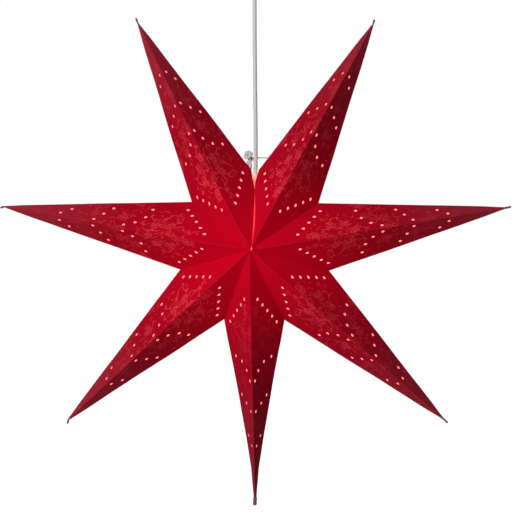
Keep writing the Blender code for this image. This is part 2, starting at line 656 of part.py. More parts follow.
def lamp(group, metal, solder, plastic, opal, board, lamp_axis):
    """The small screw lamp: tip contact, screw cap, housing, board and opal globe."""
    turned("lamp_tip", [
        (0, LAMP_TIP_TOP), (LAMP_TIP_RADIUS * 0.7, LAMP_TIP_TOP), (LAMP_TIP_RADIUS, LAMP_TIP_TOP - LAMP_TIP_HEIGHT),
        (0, LAMP_TIP_TOP - LAMP_TIP_HEIGHT),
    ], group, solder, lamp_axis, sides=SMALL_SIDES)
    cap = LAMP_CAP_RADIUS
    turned("lamp_cap", [
        (0, LAMP_CAP_TOP), (cap / 2, LAMP_CAP_TOP), (cap, LAMP_CAP_TOP - LAMP_CAP_SHOULDER), (cap, LAMP_CAP_BOTTOM),
        (0, LAMP_CAP_BOTTOM),
    ], group, metal, lamp_axis)
    neck, wide, tall = LAMP_NECK_RADIUS, LAMP_HOUSING_RADIUS, LAMP_HOUSING_HEIGHT
    turned("lamp_housing", [
        (0, HOUSING_TOP), (neck - GAP, HOUSING_TOP), (neck, HOUSING_TOP - tall / 8),
        (neck * 1.25, HOUSING_TOP - tall / 3), (wide * 0.85, HOUSING_TOP - tall * 0.7), (wide, HOUSING_BOTTOM),
        (0, HOUSING_BOTTOM),
    ], group, plastic, lamp_axis)
    board_top = HOUSING_BOTTOM - GAP
    turned("lamp_board", [
        (0, board_top), (BOARD_RADIUS, board_top), (BOARD_RADIUS, board_top - BOARD_THICKNESS),
        (0, board_top - BOARD_THICKNESS),
    ], group, board, lamp_axis)
    inner = GLOBE_RADIUS - GLOBE_WALL
    mouth_angle = math.asin(GLOBE_MOUTH_RADIUS / GLOBE_RADIUS)
    inner_angle = math.asin((GLOBE_MOUTH_RADIUS - GLOBE_WALL) / inner)
    outside, inside = [], []
    for ring in range(GLOBE_RINGS):
        angle = mouth_angle + (math.pi - mouth_angle) * ring / (GLOBE_RINGS - 1)
        outside.append((GLOBE_RADIUS * math.sin(angle), GLOBE_CENTRE + GLOBE_RADIUS * math.cos(angle)))
        angle = inner_angle + (math.pi - inner_angle) * ring / (GLOBE_RINGS - 1)
        inside.append((inner * math.sin(angle), GLOBE_CENTRE + inner * math.cos(angle)))
    outside[-1] = (0, outside[-1][1])
    inside[-1] = (0, inside[-1][1])
    turned("lamp_globe", [*reversed(inside), *outside], group, opal, lamp_axis)


def main():
    clear_scene()
    parts = new_collection("led_christmas_star")
    cutters = new_collection("cutters")
    paper = new_material("Red star paper", (0.48, 0.005, 0.012), 0.75)
    thread = new_material("Grey thread", (0.42, 0.36, 0.40), 0.9)
    pvc = new_material("White PVC cord", (0.78, 0.78, 0.77), 0.45)
    white = new_material("White plastic", (0.80, 0.80, 0.78), 0.4)
    ceramic = new_material("White ceramic", (0.82, 0.81, 0.78), 0.25)
    steel = new_material("Zinc plated steel", (0.60, 0.60, 0.62), 0.35, 1.0)
    brass = new_material("Nickel plated brass", (0.68, 0.64, 0.55), 0.3, 1.0)
    opal = new_material("Opal plastic", (0.90, 0.84, 0.72), 0.35)
    board = new_material("White circuit board", (0.70, 0.72, 0.70), 0.5)

    ceiling_bracket(parts, cutters, steel)
    ceiling_cup(parts, cutters, white)
    cord_grip(parts, white)
    terminal_block(parts, cutters, white)

    swing = add_empty("swing_axis", parts, (0, 0, PIVOT_HEIGHT))
    star = add_empty("star_axis", parts, (0, 0, -STAR_DROP - PIVOT_HEIGHT), swing)
    lamp_axis = add_empty("lamp_axis", parts, (0, 0, 0), star)
    cord_pieces(parts, pvc, swing)
    star_panels(parts, paper, star)
    tip_tabs(parts, paper, star)
    neck_string(parts, thread, star)
    neck_knot(parts, thread, star)
    pole_ties(parts, thread, star)
    lampholder(parts, white, ceramic, brass, star)
    lamp(parts, brass, steel, white, opal, board, lamp_axis)


main()
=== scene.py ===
"""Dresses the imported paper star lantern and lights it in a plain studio.

The folded and printed points, the string ties, the cord, the ceiling fitting, the lampholder
and the lamp are each a piece of their own. Lengths are in metres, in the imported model's frame.
"""

import math

import bmesh
import bpy
from bpy.props import FloatProperty, FloatVectorProperty, IntProperty, PointerProperty
from mathutils import Matrix, Vector, noise


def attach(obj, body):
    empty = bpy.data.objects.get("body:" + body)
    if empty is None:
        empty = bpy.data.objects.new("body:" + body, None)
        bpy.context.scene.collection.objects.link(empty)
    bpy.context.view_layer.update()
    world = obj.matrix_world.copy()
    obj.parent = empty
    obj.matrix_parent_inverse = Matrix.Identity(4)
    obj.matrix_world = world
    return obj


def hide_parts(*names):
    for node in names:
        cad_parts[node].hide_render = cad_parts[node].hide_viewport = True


bl_info = {
    "name": "Paper star lantern",
    "version": (1, 0, 0),
    "blender": (4, 5, 0),
    "location": "3D View > Sidebar > Paper star",
    "description": "Folds, prints, hangs and lights a seven-pointed paper star lantern",
    "category": "Object",
}

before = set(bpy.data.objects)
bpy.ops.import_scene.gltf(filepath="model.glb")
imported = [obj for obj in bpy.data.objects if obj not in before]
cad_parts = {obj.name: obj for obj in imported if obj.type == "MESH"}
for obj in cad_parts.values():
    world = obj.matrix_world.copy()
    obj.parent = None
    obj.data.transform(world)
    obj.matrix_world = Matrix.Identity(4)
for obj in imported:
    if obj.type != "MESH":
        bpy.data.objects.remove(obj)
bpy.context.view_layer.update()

STAR_CENTRE = Vector((0, 0, -0.440))
POINT_NAMES = ("upper_left", "left", "lower_left", "bottom", "lower_right", "right", "upper_right")
# Degrees from +X, turning from +X to +Z. The fan starts and ends at the open seam.
NOTCH_DIRECTIONS = (92.6, 144.0, 196.4, 246.9, 292.6, 343.1, 395.0, 446.8)
TIP_DIRECTIONS = (117.6, 170.7, 222.4, 270.0, 318.2, 369.3, 422.0)
SEAM_DIRECTION = (NOTCH_DIRECTIONS[0] + NOTCH_DIRECTIONS[-1] - 360) / 2
# Punched holes, as shares of the face's ridge and of its valley fold, from the pole
HOLE_SHARES = (
    (0.129, 0.215), (0.113, 0.355), (0.097, 0.495), (0.082, 0.632), (0.069, 0.763),
    (0.250, 0.605), (0.332, 0.377), (0.416, 0.200), (0.488, 0.090),
    (0.448, 0.449), (0.529, 0.270), (0.610, 0.090),
    (0.667, 0.239), (0.745, 0.101),
)
# Where each tab ends: past the folds' end, sideways and forward, as shares of its length
TAB_END_SHARES = (
    (0.96, -0.12, 0.10), (0.48, 0.26, 0.55), (0.30, 0.40, 0.55), (0.31, 0.00, 0.75), (1.00, 0.00, 0.10),
    (0.96, 0.06, 0.10), (0.77, 0.16, 0.30),
)
# The knot's line: across, forward to back and up, as shares of its width, depth and height
KNOT_SHARES = (
    (-0.16, 0.50, -0.25), (-0.08, 0.55, -0.84), (0.19, 0.45, -0.86), (0.12, 0.45, -0.35),
    (0.00, 0.45, 0.00), (-0.33, 0.35, 0.21),
    (-0.39, 0.14, 0.40), (0.00, 0.00, 0.46), (0.36, -0.07, 0.31), (0.17, -0.10, 0.12),
    (-0.28, -0.05, 0.02), (-0.59, 0.40, 0.11), (-0.30, 0.90, 0.03), (0.30, 1.00, -0.08),
)
TAB_BEAD_SHARES = (0, 0, 0, 1.0, 0, 0, 0)     # how much thicker a tab's end is
# By how much the side folds' bow widens a point, at distances from its tip, and how a pinched
# point narrows
BOWED_WIDTHS = (
    (0.245, 1.00), (0.167, 1.03), (0.104, 1.05), (0.060, 1.11), (0.030, 1.25), (0.018, 1.50), (0.009, 1.80),
)
PINCHED_WIDTHS = (
    (0.245, 1.00), (0.205, 0.955), (0.130, 0.89), (0.104, 0.835), (0.082, 0.776), (0.060, 0.75),
    (0.045, 0.66), (0.030, 0.71), (0.018, 1.40), (0.009, 1.70),
)
# How far the end of each point strays outwards and sideways
END_SHIFTS = (
    (-0.0020, -0.0004), (0.0026, 0.0008), (0.0041, 0.0020), (0.0015, 0.0007), (0.0000, -0.0015),
    (-0.0017, -0.0009), (-0.0032, 0.0004),
)
# How far each point's rows of holes slipped outwards on its sheet, and the back rows besides
PUNCH_SLIPS = (0, 0, 0.0004, 0.0010, 0.0004, 0, -0.0014)
BACK_PUNCH_SLIPS = (-0.0040,) + (-0.0066,) * 6
POLE_TIE_SHARES = ((-0.4, 0.4, 0.2), (-0.2, 0.2, 1.0), (0.0, 0.0, 1.2), (0.4, 0.4, 1.8), (0.8, 0.8, 1.4))
NEAR_CUTS = (0.010, 0.018, 0.028, 0.042)    # cuts across a point near the pole, out from it
POLE_CLEARANCE = 0.009          # nearer to the pole no fold is rounded
SHORTEST_FOLD = 0.004           # nor any stretch of a fold as short as this
POLE_STRAY_REACH = 0.04         # how far from the pole its stray is felt
# How a point's open end is drawn together, step by step: further out, and how wide it stays
TIP_CLOSING = ((0.0022, 0.86), (0.0018, 0.80), (0.0012, 0.75))
LINING_WIDTH = 0.0032           # the strip inside the closed seam
LINING_DROP = 0.0009            # how far it stands behind the faces
# The print's outer bands, in mm: where they lie along the ridge, half their width and how strongly
# they show
PRINT_BANDS = ((224, 20, 0.75), (275, 18, 0.55), (324, 14, 0.3))
SWAY_SEED = 4                   # unseeded, the folds' noise would follow the clock
BARB_START, BARB_REACH = 0.52, 0.34     # a flake's barb, as shares of its arm
GLOW_SPREAD, GLOW_STRENGTH = 0.17, 0.205    # the lamp's light that comes through the card
INSERT_DROP = 0.049             # the lampholder's top down to the low end of its insert
TIP_RISE = 0.022                # from there up to the top of the lamp's solder tip
TIP_HEIGHT = 0.0012             # the height of that tip
CUP_SCREW_HEIGHT = -0.009
KEY_PLACE, KEY_WIDTH = (-0.62, -1.55, -0.06), 0.7
FLOOR_REACH = 12
IMAGE_SIZE = 512                # pixels across the square image
STAR_PIXEL = (254.6, 247.8)     # where the star's centre stands in it
GAP = 0.0003
MERGE_DISTANCE = 0.00002
UV_LENGTH = 0.4                 # the length that one unit of the paper's map stands for


def linear(hex_colour):
    """An sRGB hex colour as linear red, green and blue."""
    channels = [int(hex_colour[i:i + 2], 16) / 255 for i in (1, 3, 5)]
    return [c / 12.92 if c <= 0.04045 else ((c + 0.055) / 1.055) ** 2.4 for c in channels]


def length(name, description, default):
    return FloatProperty(name=name, description=description, default=default, min=0.0,
                         subtype="DISTANCE", unit="LENGTH", precision=4)


def colour(name, description, hex_colour):
    return FloatVectorProperty(name=name, description=description, default=linear(hex_colour),
                               subtype="COLOR", size=3, min=0.0, max=1.0)


class PaperSettings(bpy.types.PropertyGroup):
    tip_radius: length("Tip radius", "Centre to where the folds of a point meet", 0.370)
    notch_radius: length("Notch radius", "Centre to the notch between two points", 0.1138)
    depth: length("Depth", "Front pole to back pole", 0.214)
    thickness: length("Paper thickness", "Thickness of the card", 0.00035)
    flap: length("Glue flap", "Width of the flaps turned in along the valleys", 0.006)
    fold: length("Fold width", "Width of the rounded back of a fold", 0.0005)
    sway: length("Fold sway", "How far the hand-made folds stray from straight", 0.0007)
    hole: length("Hole diameter", "Diameter of the punched holes", 0.0046)
    pole_gap: length("Pole opening", "Centre of a pole to the paper's corners", 0.0012)
    tip_trim: length("Tip trim", "From the folds' end back to where the tab starts", 0.007)
    tab_radius: length("Tab radius", "Half the width of the flattened tab", 0.0017)
    tab: length("Tab length", "How far the pinched tab reaches past the tip", 0.0090)
    seam_gap: length("Seam gap", "Widest gap between the two edges of the closed seam", 0.0020)
    bow: length("Seam bow", "How far the closed seam strays to the right in front", 0.0042)
    bow_middle: length("Seam bow middle", "From the pole to where the seam strays most", 0.0300)
    bow_reach: length("Seam bow reach", "From there to where it is straight again", 0.0665)
    pole_up: length("Pole stray", "How far the front pole strays upwards", 0.0022)
    seam_closed: length("Seam closed radius", "Centre to where the seam starts to spread", 0.085)
    red: colour("Paper red", "The card's printed ground", "#A20622")
    deep_red: colour("Lit red", "The card near the lamp, where its light comes through", "#A40016")
    # Painted sheen: a greyer red for the ends of the points, far from the lamp
    far_sheen_red: colour("Far sheen red", "The card at the ends of the points", "#963D4A")
    line_red: colour("Line red", "The lighter lines of the print", "#CA363F")
    glow: colour("Glow", "Lamplight that comes through the card", "#FF002C")
    inside: colour("Inside glow", "The unprinted inner side near the lamp", "#FF96A0")
    inside_far: colour("Far inside glow", "The unprinted inner side out in the points", "#875551")


class TieSettings(bpy.types.PropertyGroup):
    string_radius: length("String radius", "Half the thickness of the string", 0.0010)
    thread_radius: length("Thread radius", "Half the thickness of the pole thread", 0.0006)
    height: length("Tie height", "Star's centre up to the string", 0.131)
    knot_radius: length("Knot string radius", "Half the thickness of the doubled string", 0.0016)
    knot_swell: FloatProperty(name="Knot swell", description="How far the slack plies of the knot swell",
                              default=1.7)
    knot_gap: length("Knot gap", "The gap between the knot and the upper left point", 0.0020)
    knot_width: length("Knot width", "Size of the knot across", 0.0095)
    knot_height: length("Knot height", "Size of the knot up and down", 0.0170)
    knot_depth: length("Knot depth", "Size of the knot forward and back", 0.0080)
    tail: length("Tail", "How far the string's tail hangs behind the cord", 0.014)
    pole_reach: length("Pole stitch reach", "Pole to each end of its stitch", 0.0045)
    string: colour("String", "Grey cotton string", "#CDC4C9")
    # Painted light: the white thread is coloured pink for the red light the card throws on it
    thread: colour("Thread", "Pole thread, pink with painted light from the card", "#FF8494")


class HangingSettings(bpy.types.PropertyGroup):
    cord_radius: length("Cord radius", "Half the thickness of the round lead", 0.0029)
    cord_points: IntProperty(name="Cord points", description="Points along the lead", default=18, min=15)
    cord_bow: length("Cord bow", "How far the lead bows to the right at the star's neck", 0.0016)
    pivot: length("Grip mouth drop", "Ceiling to the mouth of the cord grip", 0.0726)
    cord_end: length("Cord end drop", "Ceiling to the lead's end in the lampholder", 0.374)
    cup_radius: length("Cup radius", "Outer radius of the ceiling cup", 0.0429)
    cup_height: length("Cup height", "Ceiling to the cup's bottom", 0.050)
    sheath: colour("Cord sheath", "Plasticised sheath of the lead", "#C3C4C5")
    plastic: colour("White plastic", "Moulded plastic of the fitting", "#ECEBE6")
    steel: colour("Zinc", "Zinc plated strap and screws", "#B9BCC0")


class LampSettings(bpy.types.PropertyGroup):
    holder_top: length("Holder top", "Star's centre up to the lampholder's top", 0.078)
    holder_radius: length("Holder radius", "Outer radius of the lampholder", 0.0145)
    thread_pitch: length("Thread pitch", "Pitch of the rolled screw thread", 0.00282)
    globe_radius: length("Globe radius", "Outer radius of the opal globe", 0.0225)
    plated: colour("Plated brass", "Nickel plated shell and cap", "#C9C2B2")
    ceramic: colour("Ceramic", "Glazed insert of the lampholder", "#EDEBE4")
    globe: colour("Globe glow", "Warm light of the opal globe", "#FFE0B8")


class StudioSettings(bpy.types.PropertyGroup):
    distance: length("Camera distance", "Camera to the star's centre", 4.0)
    azimuth: FloatProperty(name="Azimuth", description="Camera's turn to the right", default=4.2)
    elevation: FloatProperty(name="Elevation", description="Camera's height angle", default=2.29)
    pixels_per_metre: FloatProperty(name="Image scale", description="Pixels for a metre at the star",
                                    default=686.4)
    floor_drop: length("Floor drop", "Ceiling down to the floor", 1.6)
    key_energy: FloatProperty(name="Key light", description="Power of the light at the left", default=27.0,
                              subtype="POWER", unit="POWER")
    world_strength: FloatProperty(name="Surroundings", description="Light of the white room", default=0.13)


def feed(tree, socket, value):
    """Link a socket to an output, or set it. A colour may be a hex one or have three parts."""
    if isinstance(value, bpy.types.NodeSocket):
        tree.links.new(value, socket)
        return
    if socket.type == "RGBA":
        value = (*(linear(value) if isinstance(value, str) else value[:3]), 1)
    socket.default_value = value


def add(tree, kind, inputs=(), output=0, **fields):
    """Add a node, set its fields, feed its inputs, by name or all in their order, and give one of
    its outputs."""
    made = tree.nodes.new("ShaderNode" + kind)
    for key, value in fields.items():
        setattr(made, key, value)
    for key, value in inputs.items() if isinstance(inputs, dict) else enumerate(inputs):
        feed(tree, made.inputs[key], value)
    return made.outputs[output]


def new_finish(name, **constants):
    """An opaque material and its node tree, with constants on its shader."""
    material = bpy.data.materials.new(name)
    material.use_nodes = True
    return shade(material, **constants), material.node_tree


def shade(material, **sockets):
    """Set or link sockets of the material's shader."""
    tree = material.node_tree
    for key, value in sockets.items():
        socket = key.replace("_", " ").title().replace("Ior", "IOR")
        feed(tree, tree.nodes["Principled BSDF"].inputs[socket], value)
    return material


BUILT = {}


def finish(build):
    """The material that a function builds, built at its first use."""
    if build not in BUILT:
        BUILT[build] = build()
    return BUILT[build]


def settings():
    """The sizes and colours of the lantern, in groups."""
    return bpy.context.scene.paper_star


# Finishes

def flake_lines(tree, offset, turned_by, size, width):
    """1 on the lines of a six-armed frost flake about the point where the offset is 0, in mm."""
    split = add(tree, "SeparateXYZ", (offset,)).node
    radius = add(tree, "VectorMath", (offset,), "Value", operation="LENGTH")
    turn = add(tree, "Math", (split.outputs[1], split.outputs[0]), operation="ARCTAN2")
    turn = add(tree, "Math", (turn, turned_by), operation="ADD")
    folded = add(tree, "Math", (turn, math.pi / 6), operation="PINGPONG")
    cosine, sine = (add(tree, "Math", (folded,), operation=part) for part in ("COSINE", "SINE"))
    along = add(tree, "Math", (radius, cosine), operation="MULTIPLY")
    across = add(tree, "Math", (radius, sine), operation="MULTIPLY")
    near = add(tree, "Math", (across, width / 2), operation="LESS_THAN")
    inside = add(tree, "Math", (along, size), operation="LESS_THAN")
    lines = add(tree, "Math", (near, inside), operation="MULTIPLY")
    slant = add(tree, "Math", (across, math.tan(math.pi / 6)), operation="MULTIPLY")
    base = add(tree, "Math", (along, slant), operation="SUBTRACT")
    barb = line_at(tree, base, size * BARB_START, width)
    short = add(tree, "Math", (across, size * BARB_REACH), operation="LESS_THAN")
    barb = add(tree, "Math", (barb, short), operation="MULTIPLY")
    return add(tree, "Math", (lines, barb), operation="MAXIMUM")


def line_at(tree, value, level, width):
    """1 where a value in mm is within half a line's width of a level."""
    return add(tree, "Math", (value, level, width / 2), operation="COMPARE")


def ring_lines(tree, offset, size, width, petals, wave):
    """1 on a scalloped ring about the point where the offset is 0. Sizes in mm."""
    split = add(tree, "SeparateXYZ", (offset,)).node
    radius = add(tree, "VectorMath", (offset,), "Value", operation="LENGTH")
    turn = add(tree, "Math", (split.outputs[1], split.outputs[0]), operation="ARCTAN2")
    turns = add(tree, "Math", (turn, petals), operation="MULTIPLY")
    waved = add(tree, "Math", (turns,), operation="COSINE")
    level = add(tree, "Math", (waved, -wave, radius), operation="MULTIPLY_ADD")
    return line_at(tree, level, size, width)


def zones(tree, place, inset):
    """How strongly the print shows at a place on the face: in an oval field past the first row of
    holes and, ever fainter, in the three bands between the rows further out."""
    split = add(tree, "SeparateXYZ", (place,)).node
    along, across = split.outputs[0], add(tree, "Math", (split.outputs[1],), operation="ABSOLUTE")
    oval = add(tree, "VectorMath", (place, (1, 0.74, 0), (-133, 0, 0)), operation="MULTIPLY_ADD")
    round_field = add(tree, "VectorMath", (oval,), "Value", operation="LENGTH")
    total = add(tree, "Math", (round_field, 50 - inset), operation="LESS_THAN")
    first_row = add(tree, "Math", (across, -0.96, along), operation="MULTIPLY_ADD")
    past = add(tree, "Math", (first_row, 67 + 1.4 * inset), operation="GREATER_THAN")
    total = add(tree, "Math", (total, past), operation="MULTIPLY")
    bands = add(tree, "Math", (across, 0.5, along), operation="MULTIPLY_ADD")
    before = add(tree, "Math", (bands, 195 - inset), operation="LESS_THAN")
    total = add(tree, "Math", (total, before), operation="MULTIPLY")
    for middle, half, share in PRINT_BANDS:
        band = add(tree, "Math", (bands, middle, half - inset), operation="COMPARE")
        total = add(tree, "Math", (band, share, total), operation="MULTIPLY_ADD")
    return total


def print_lines(tree):
    """The frost print on a face, laid out in mm along and across its ridge: scattered flakes and
    curls, tied together by a broken lace of fine lines, about one scalloped ring."""
    shares = add(tree, "UVMap", uv_map="fold")
    flat = add(tree, "VectorMath", {0: shares, "Scale": UV_LENGTH * 1000}, operation="SCALE")
    bent = flat
    for scale, reach in ((0.04, 9.0), (0.22, 3.6)):
        wander = add(tree, "TexNoise", {"Vector": flat, "Scale": scale, "Detail": 0.0}, "Color",
                     noise_dimensions="2D")
        bent = add(tree, "VectorMath", (wander, (reach, reach, 0.0), bent), operation="MULTIPLY_ADD")
    total = None
    for cell, size, width, part in ((30.0, 9.5, 1.6, "flake"), (21.0, 3.8, 1.5, "curl")):
        cells = add(tree, "TexVoronoi", {"Vector": bent, "Scale": 1 / cell, "Randomness": 0.62},
                    voronoi_dimensions="2D").node
        centre = cells.outputs["Position"]
        offset = add(tree, "VectorMath", (bent, centre), operation="SUBTRACT")
        chance = add(tree, "SeparateColor", (cells.outputs["Color"],)).node
        if part == "flake":
            lines = flake_lines(tree, offset, chance.outputs[0], size, width)
        else:
            lines = ring_lines(tree, offset, size, width, 3, 0.9)
            kept = add(tree, "Math", (chance.outputs[1], 0.45), operation="GREATER_THAN")
            lines = add(tree, "Math", (lines, kept), operation="MULTIPLY")
        shown = add(tree, "Math", (lines, zones(tree, centre, 6)), operation="MULTIPLY")
        total = shown if total is None else add(tree, "Math", (total, shown), operation="MAXIMUM")
    lace = add(tree, "TexVoronoi", {"Vector": bent, "Scale": 1 / 13.5, "Randomness": 0.95}, "Distance",
               voronoi_dimensions="2D", feature="DISTANCE_TO_EDGE")
    lace = add(tree, "Math", (lace, 0.066), operation="LESS_THAN")
    gaps = add(tree, "TexNoise", {"Vector": flat, "Scale": 0.09, "Detail": 0.0}, noise_dimensions="2D")
    whole = add(tree, "Math", (gaps, 0.49), operation="GREATER_THAN")
    lace = add(tree, "Math", (lace, whole), operation="MULTIPLY")
    middle = add(tree, "VectorMath", (bent, (135, 2, 0)), operation="SUBTRACT")
    ring = ring_lines(tree, middle, 26, 1.5, 9, 2.4)
    lace = add(tree, "Math", (lace, ring), operation="MAXIMUM")
    lace = add(tree, "Math", (lace, zones(tree, flat, 3)), operation="MULTIPLY")
    return add(tree, "Math", (total, lace), operation="MAXIMUM")


def lamp_reach(tree, spread):
    """Falls from 1 at the star's middle line towards 0 away from it, seen from front or back."""
    place = add(tree, "TexCoord", output="Object")
    moved = add(tree, "VectorMath", (place, -STAR_CENTRE + Vector((0, 0, 0.005))), operation="ADD")
    flat = add(tree, "VectorMath", (moved, (1 / spread, 0, 1.4 / spread)), operation="MULTIPLY")
    far = add(tree, "VectorMath", (flat, flat), "Value", operation="DOT_PRODUCT")
    return add(tree, "Math", (math.exp(-1), far), operation="POWER")


def red_card():
    """Matt printed card. Tone on tone frost lines over fine mottling, and the lamp's red glow
    that comes through it round the star's middle."""
    paper = settings().paper
    material, tree = new_finish("Printed matt red card", roughness=0.8, specular_ior_level=0.03)
    place = add(tree, "TexCoord", output="Object")
    near = lamp_reach(tree, GLOW_SPREAD)
    ground = add(tree, "Mix", {0: near, 6: paper.red, 7: paper.deep_red}, 2, data_type="RGBA")
    # Cotton fibres of 1 to 3 mm show as a faint mottling
    fibres = add(tree, "TexNoise", {"Vector": place, "Scale": 420.0, "Detail": 4.0, "Roughness": 0.65})
    clouds = add(tree, "TexNoise", {"Vector": place, "Scale": 30.0, "Detail": 2.0})
    # Painted sheen: the card greys towards the ends of the points, far from the lamp, where room light's
    # sheen outweighs the lamplight
    offset = add(tree, "VectorMath", (place, STAR_CENTRE), operation="SUBTRACT")
    reach = add(tree, "VectorMath", (offset,), "Value", operation="LENGTH")
    sheen_share = add(tree, "MapRange", (reach, 0.20, 0.37, 0.0, 0.5))
    ground = add(tree, "Mix", {0: sheen_share, 6: ground, 7: paper.far_sheen_red}, 2, data_type="RGBA")
    both = add(tree, "Math", (fibres, 0.6, clouds), operation="MULTIPLY_ADD")
    value = add(tree, "MapRange", (both, 0.45, 1.15, 0.90, 1.08))
    mottled = add(tree, "HueSaturation", {"Color": ground, "Value": value})
    worn = add(tree, "MapRange", (clouds, 0.35, 0.6, 0.65, 1.0))
    # The print is faintest on the lowest point
    split = add(tree, "SeparateXYZ", (offset,)).node
    aside = add(tree, "Math", (split.outputs[0],), operation="ABSOLUTE")
    height = add(tree, "Math", (aside, 1.2, split.outputs[2]), operation="MULTIPLY_ADD")
    lowest = add(tree, "MapRange", (height, -0.10, -0.04, 0.4, 1.0))
    worn = add(tree, "Math", (worn, lowest), operation="MULTIPLY")
    ink = add(tree, "Math", (print_lines(tree), worn), operation="MULTIPLY")
    printed = add(tree, "Mix", {0: ink, 6: mottled, 7: paper.line_red}, 2, data_type="RGBA")
    strength = add(tree, "Math", (near, GLOW_STRENGTH), operation="MULTIPLY")
    bump = add(tree, "Bump", {"Strength": 0.25, "Distance": 0.0002, "Height": both})
    return shade(material, base_color=printed, emission_color=paper.glow, emission_strength=strength,
                 normal=bump)


def opened_fold():
    """The back of a fold, where the print cracks and the card's fibres open to a paler red."""
    paper = settings().paper
    material, tree = new_finish("Cracked fold of red card", roughness=0.85, specular_ior_level=0.06)
    place = add(tree, "TexCoord", output="Object")
    cracks = add(tree, "TexNoise", {"Vector": place, "Scale": 260.0, "Detail": 5.0, "Roughness": 0.7})
    ramp = add(tree, "MapRange", (cracks, 0.40, 0.65, 0.0, 0.35))
    mixed = add(tree, "Mix", {0: ramp, 6: paper.red, 7: paper.line_red}, 2, data_type="RGBA")
    strength = add(tree, "Math", (lamp_reach(tree, GLOW_SPREAD), GLOW_STRENGTH), operation="MULTIPLY")
    bump = add(tree, "Bump", {"Strength": 0.5, "Distance": 0.0002, "Height": cracks})
    return shade(material, base_color=mixed, emission_color=paper.glow, emission_strength=strength,
                 normal=bump)


def lit_inside():
    """The card's unprinted inner side, flooded by the lamp: rosy near it and dim in the points."""
    paper = settings().paper
    material, tree = new_finish("Unprinted card lit by the lamp", roughness=0.9)
    place = add(tree, "TexCoord", output="Object")
    near = lamp_reach(tree, 0.28)
    fibres = add(tree, "TexNoise", {"Vector": place, "Scale": 420.0, "Detail": 3.0})
    warm = add(tree, "Mix", {0: near, 6: paper.inside_far, 7: paper.inside}, 2,
               data_type="RGBA")
    # Room light falls in at the open end of the seam and whitens what is seen through it
    away = add(tree, "VectorMath", (place, -STAR_CENTRE - Vector((0, 0, 0.115))), operation="ADD")
    away = add(tree, "VectorMath", (away, (65.0, 0.0, 26.0)), operation="MULTIPLY")
    far = add(tree, "VectorMath", (away, away), "Value", operation="DOT_PRODUCT")
    open_end = add(tree, "Math", (math.exp(-1), far), operation="POWER")
    warm = add(tree, "Mix", {0: open_end, 6: warm, 7: "#FFCC94"}, 2, data_type="RGBA")
    strength = add(tree, "MapRange", (fibres, 0.3, 0.7, 0.95, 1.25))
    return shade(material, emission_color=warm, emission_strength=strength, base_color="#D9A79B")


def seam_glow():
    """The thin overlap behind the seam, where one layer of card glows a clear red."""
    material, tree = new_finish("Single card layer at the seam", roughness=0.8)
    place = add(tree, "TexCoord", output="Object")
    fibres = add(tree, "TexNoise", {"Vector": place, "Scale": 300.0, "Detail": 3.0})
    grain = add(tree, "MapRange", (fibres, 0.3, 0.7, 0.88, 1.12))
    height = add(tree, "SeparateXYZ", (place,), 2)
    middle = STAR_CENTRE.z + settings().paper.seam_closed / 2
    off_middle = add(tree, "Math", (height, middle), operation="SUBTRACT")
    off_middle = add(tree, "Math", (off_middle,), operation="ABSOLUTE")
    fade = add(tree, "MapRange", (off_middle, 0.012, 0.043, 0.85, 0.12))
    strength = add(tree, "Math", (grain, fade), operation="MULTIPLY")
    return shade(material, base_color="#A01222", emission_color="#FA3C46", emission_strength=strength)


def pinched_card():
    """Card twisted hard between two fingers: greyer red, creased along its length."""
    material, tree = new_finish("Creased end of red card", roughness=0.8, specular_ior_level=0.2)
    place = add(tree, "TexCoord", output="Object")
    creases = add(tree, "TexNoise", {"Vector": place, "Scale": 900.0, "Detail": 3.0, "Distortion": 1.0})
    ramp = add(tree, "MapRange", (creases, 0.35, 0.68, 0.0, 1.0))
    mixed = add(tree, "Mix", {0: ramp, 6: "#6A2A36", 7: "#9C5A66"}, 2,
                data_type="RGBA")
    bump = add(tree, "Bump", {"Strength": 0.6, "Distance": 0.0003, "Height": creases})
    return shade(material, base_color=mixed, normal=bump)


def cotton(name, base):
    """Plied cotton with a soft nap: matt, mottled darker and lighter along its fibres."""
    material, tree = new_finish(name, roughness=0.95, specular_ior_level=0.15, sheen_weight=0.25,
                                        sheen_roughness=0.6)
    place = add(tree, "TexCoord", output="Object")
    fibres = add(tree, "TexNoise", {"Vector": place, "Scale": 2200.0, "Detail": 4.0})
    value = add(tree, "MapRange", (fibres, 0.3, 0.7, 0.72, 1.12))
    shaded = add(tree, "HueSaturation", {"Color": base, "Value": value})
    bump = add(tree, "Bump", {"Strength": 0.5, "Distance": 0.0002, "Height": fibres})
    return shade(material, base_color=shaded, normal=bump)


def grey_string():
    return cotton("Plied grey cotton string", settings().ties.string)


def white_thread():
    # The thread's pink is painted red light from the card
    return cotton("White cotton thread", settings().ties.thread)


def lead_sheath():
    """Extruded soft PVC: smooth, slightly glossy, with faint draw lines along it."""
    material, tree = new_finish("Extruded soft PVC sheath", roughness=0.55, specular_ior_level=0.2)
    place = add(tree, "TexCoord", output="Object")
    drawn = add(tree, "VectorMath", (place, (900.0, 900.0, 14.0)), operation="MULTIPLY")
    streaks = add(tree, "TexNoise", {"Vector": drawn, "Scale": 1.0, "Detail": 2.0})
    value = add(tree, "MapRange", (streaks, 0.3, 0.7, 0.97, 1.02))
    tint = add(tree, "HueSaturation", {"Color": settings().hanging.sheath, "Value": value})
    # Inside the star the lamp's warm light tints it
    height = add(tree, "SeparateXYZ", (place,), 2)
    warm = add(tree, "MapRange", (height, STAR_CENTRE.z + 0.114, STAR_CENTRE.z + 0.098, 0.0, 1.0))
    lit = add(tree, "Mix", {0: warm, 6: tint, 7: (0.95, 0.86, 0.56)}, 2, data_type="RGBA",
              blend_type="MULTIPLY")
    bump = add(tree, "Bump", {"Strength": 0.15, "Distance": 0.0002, "Height": streaks})
    return shade(material, base_color=lit, normal=bump)


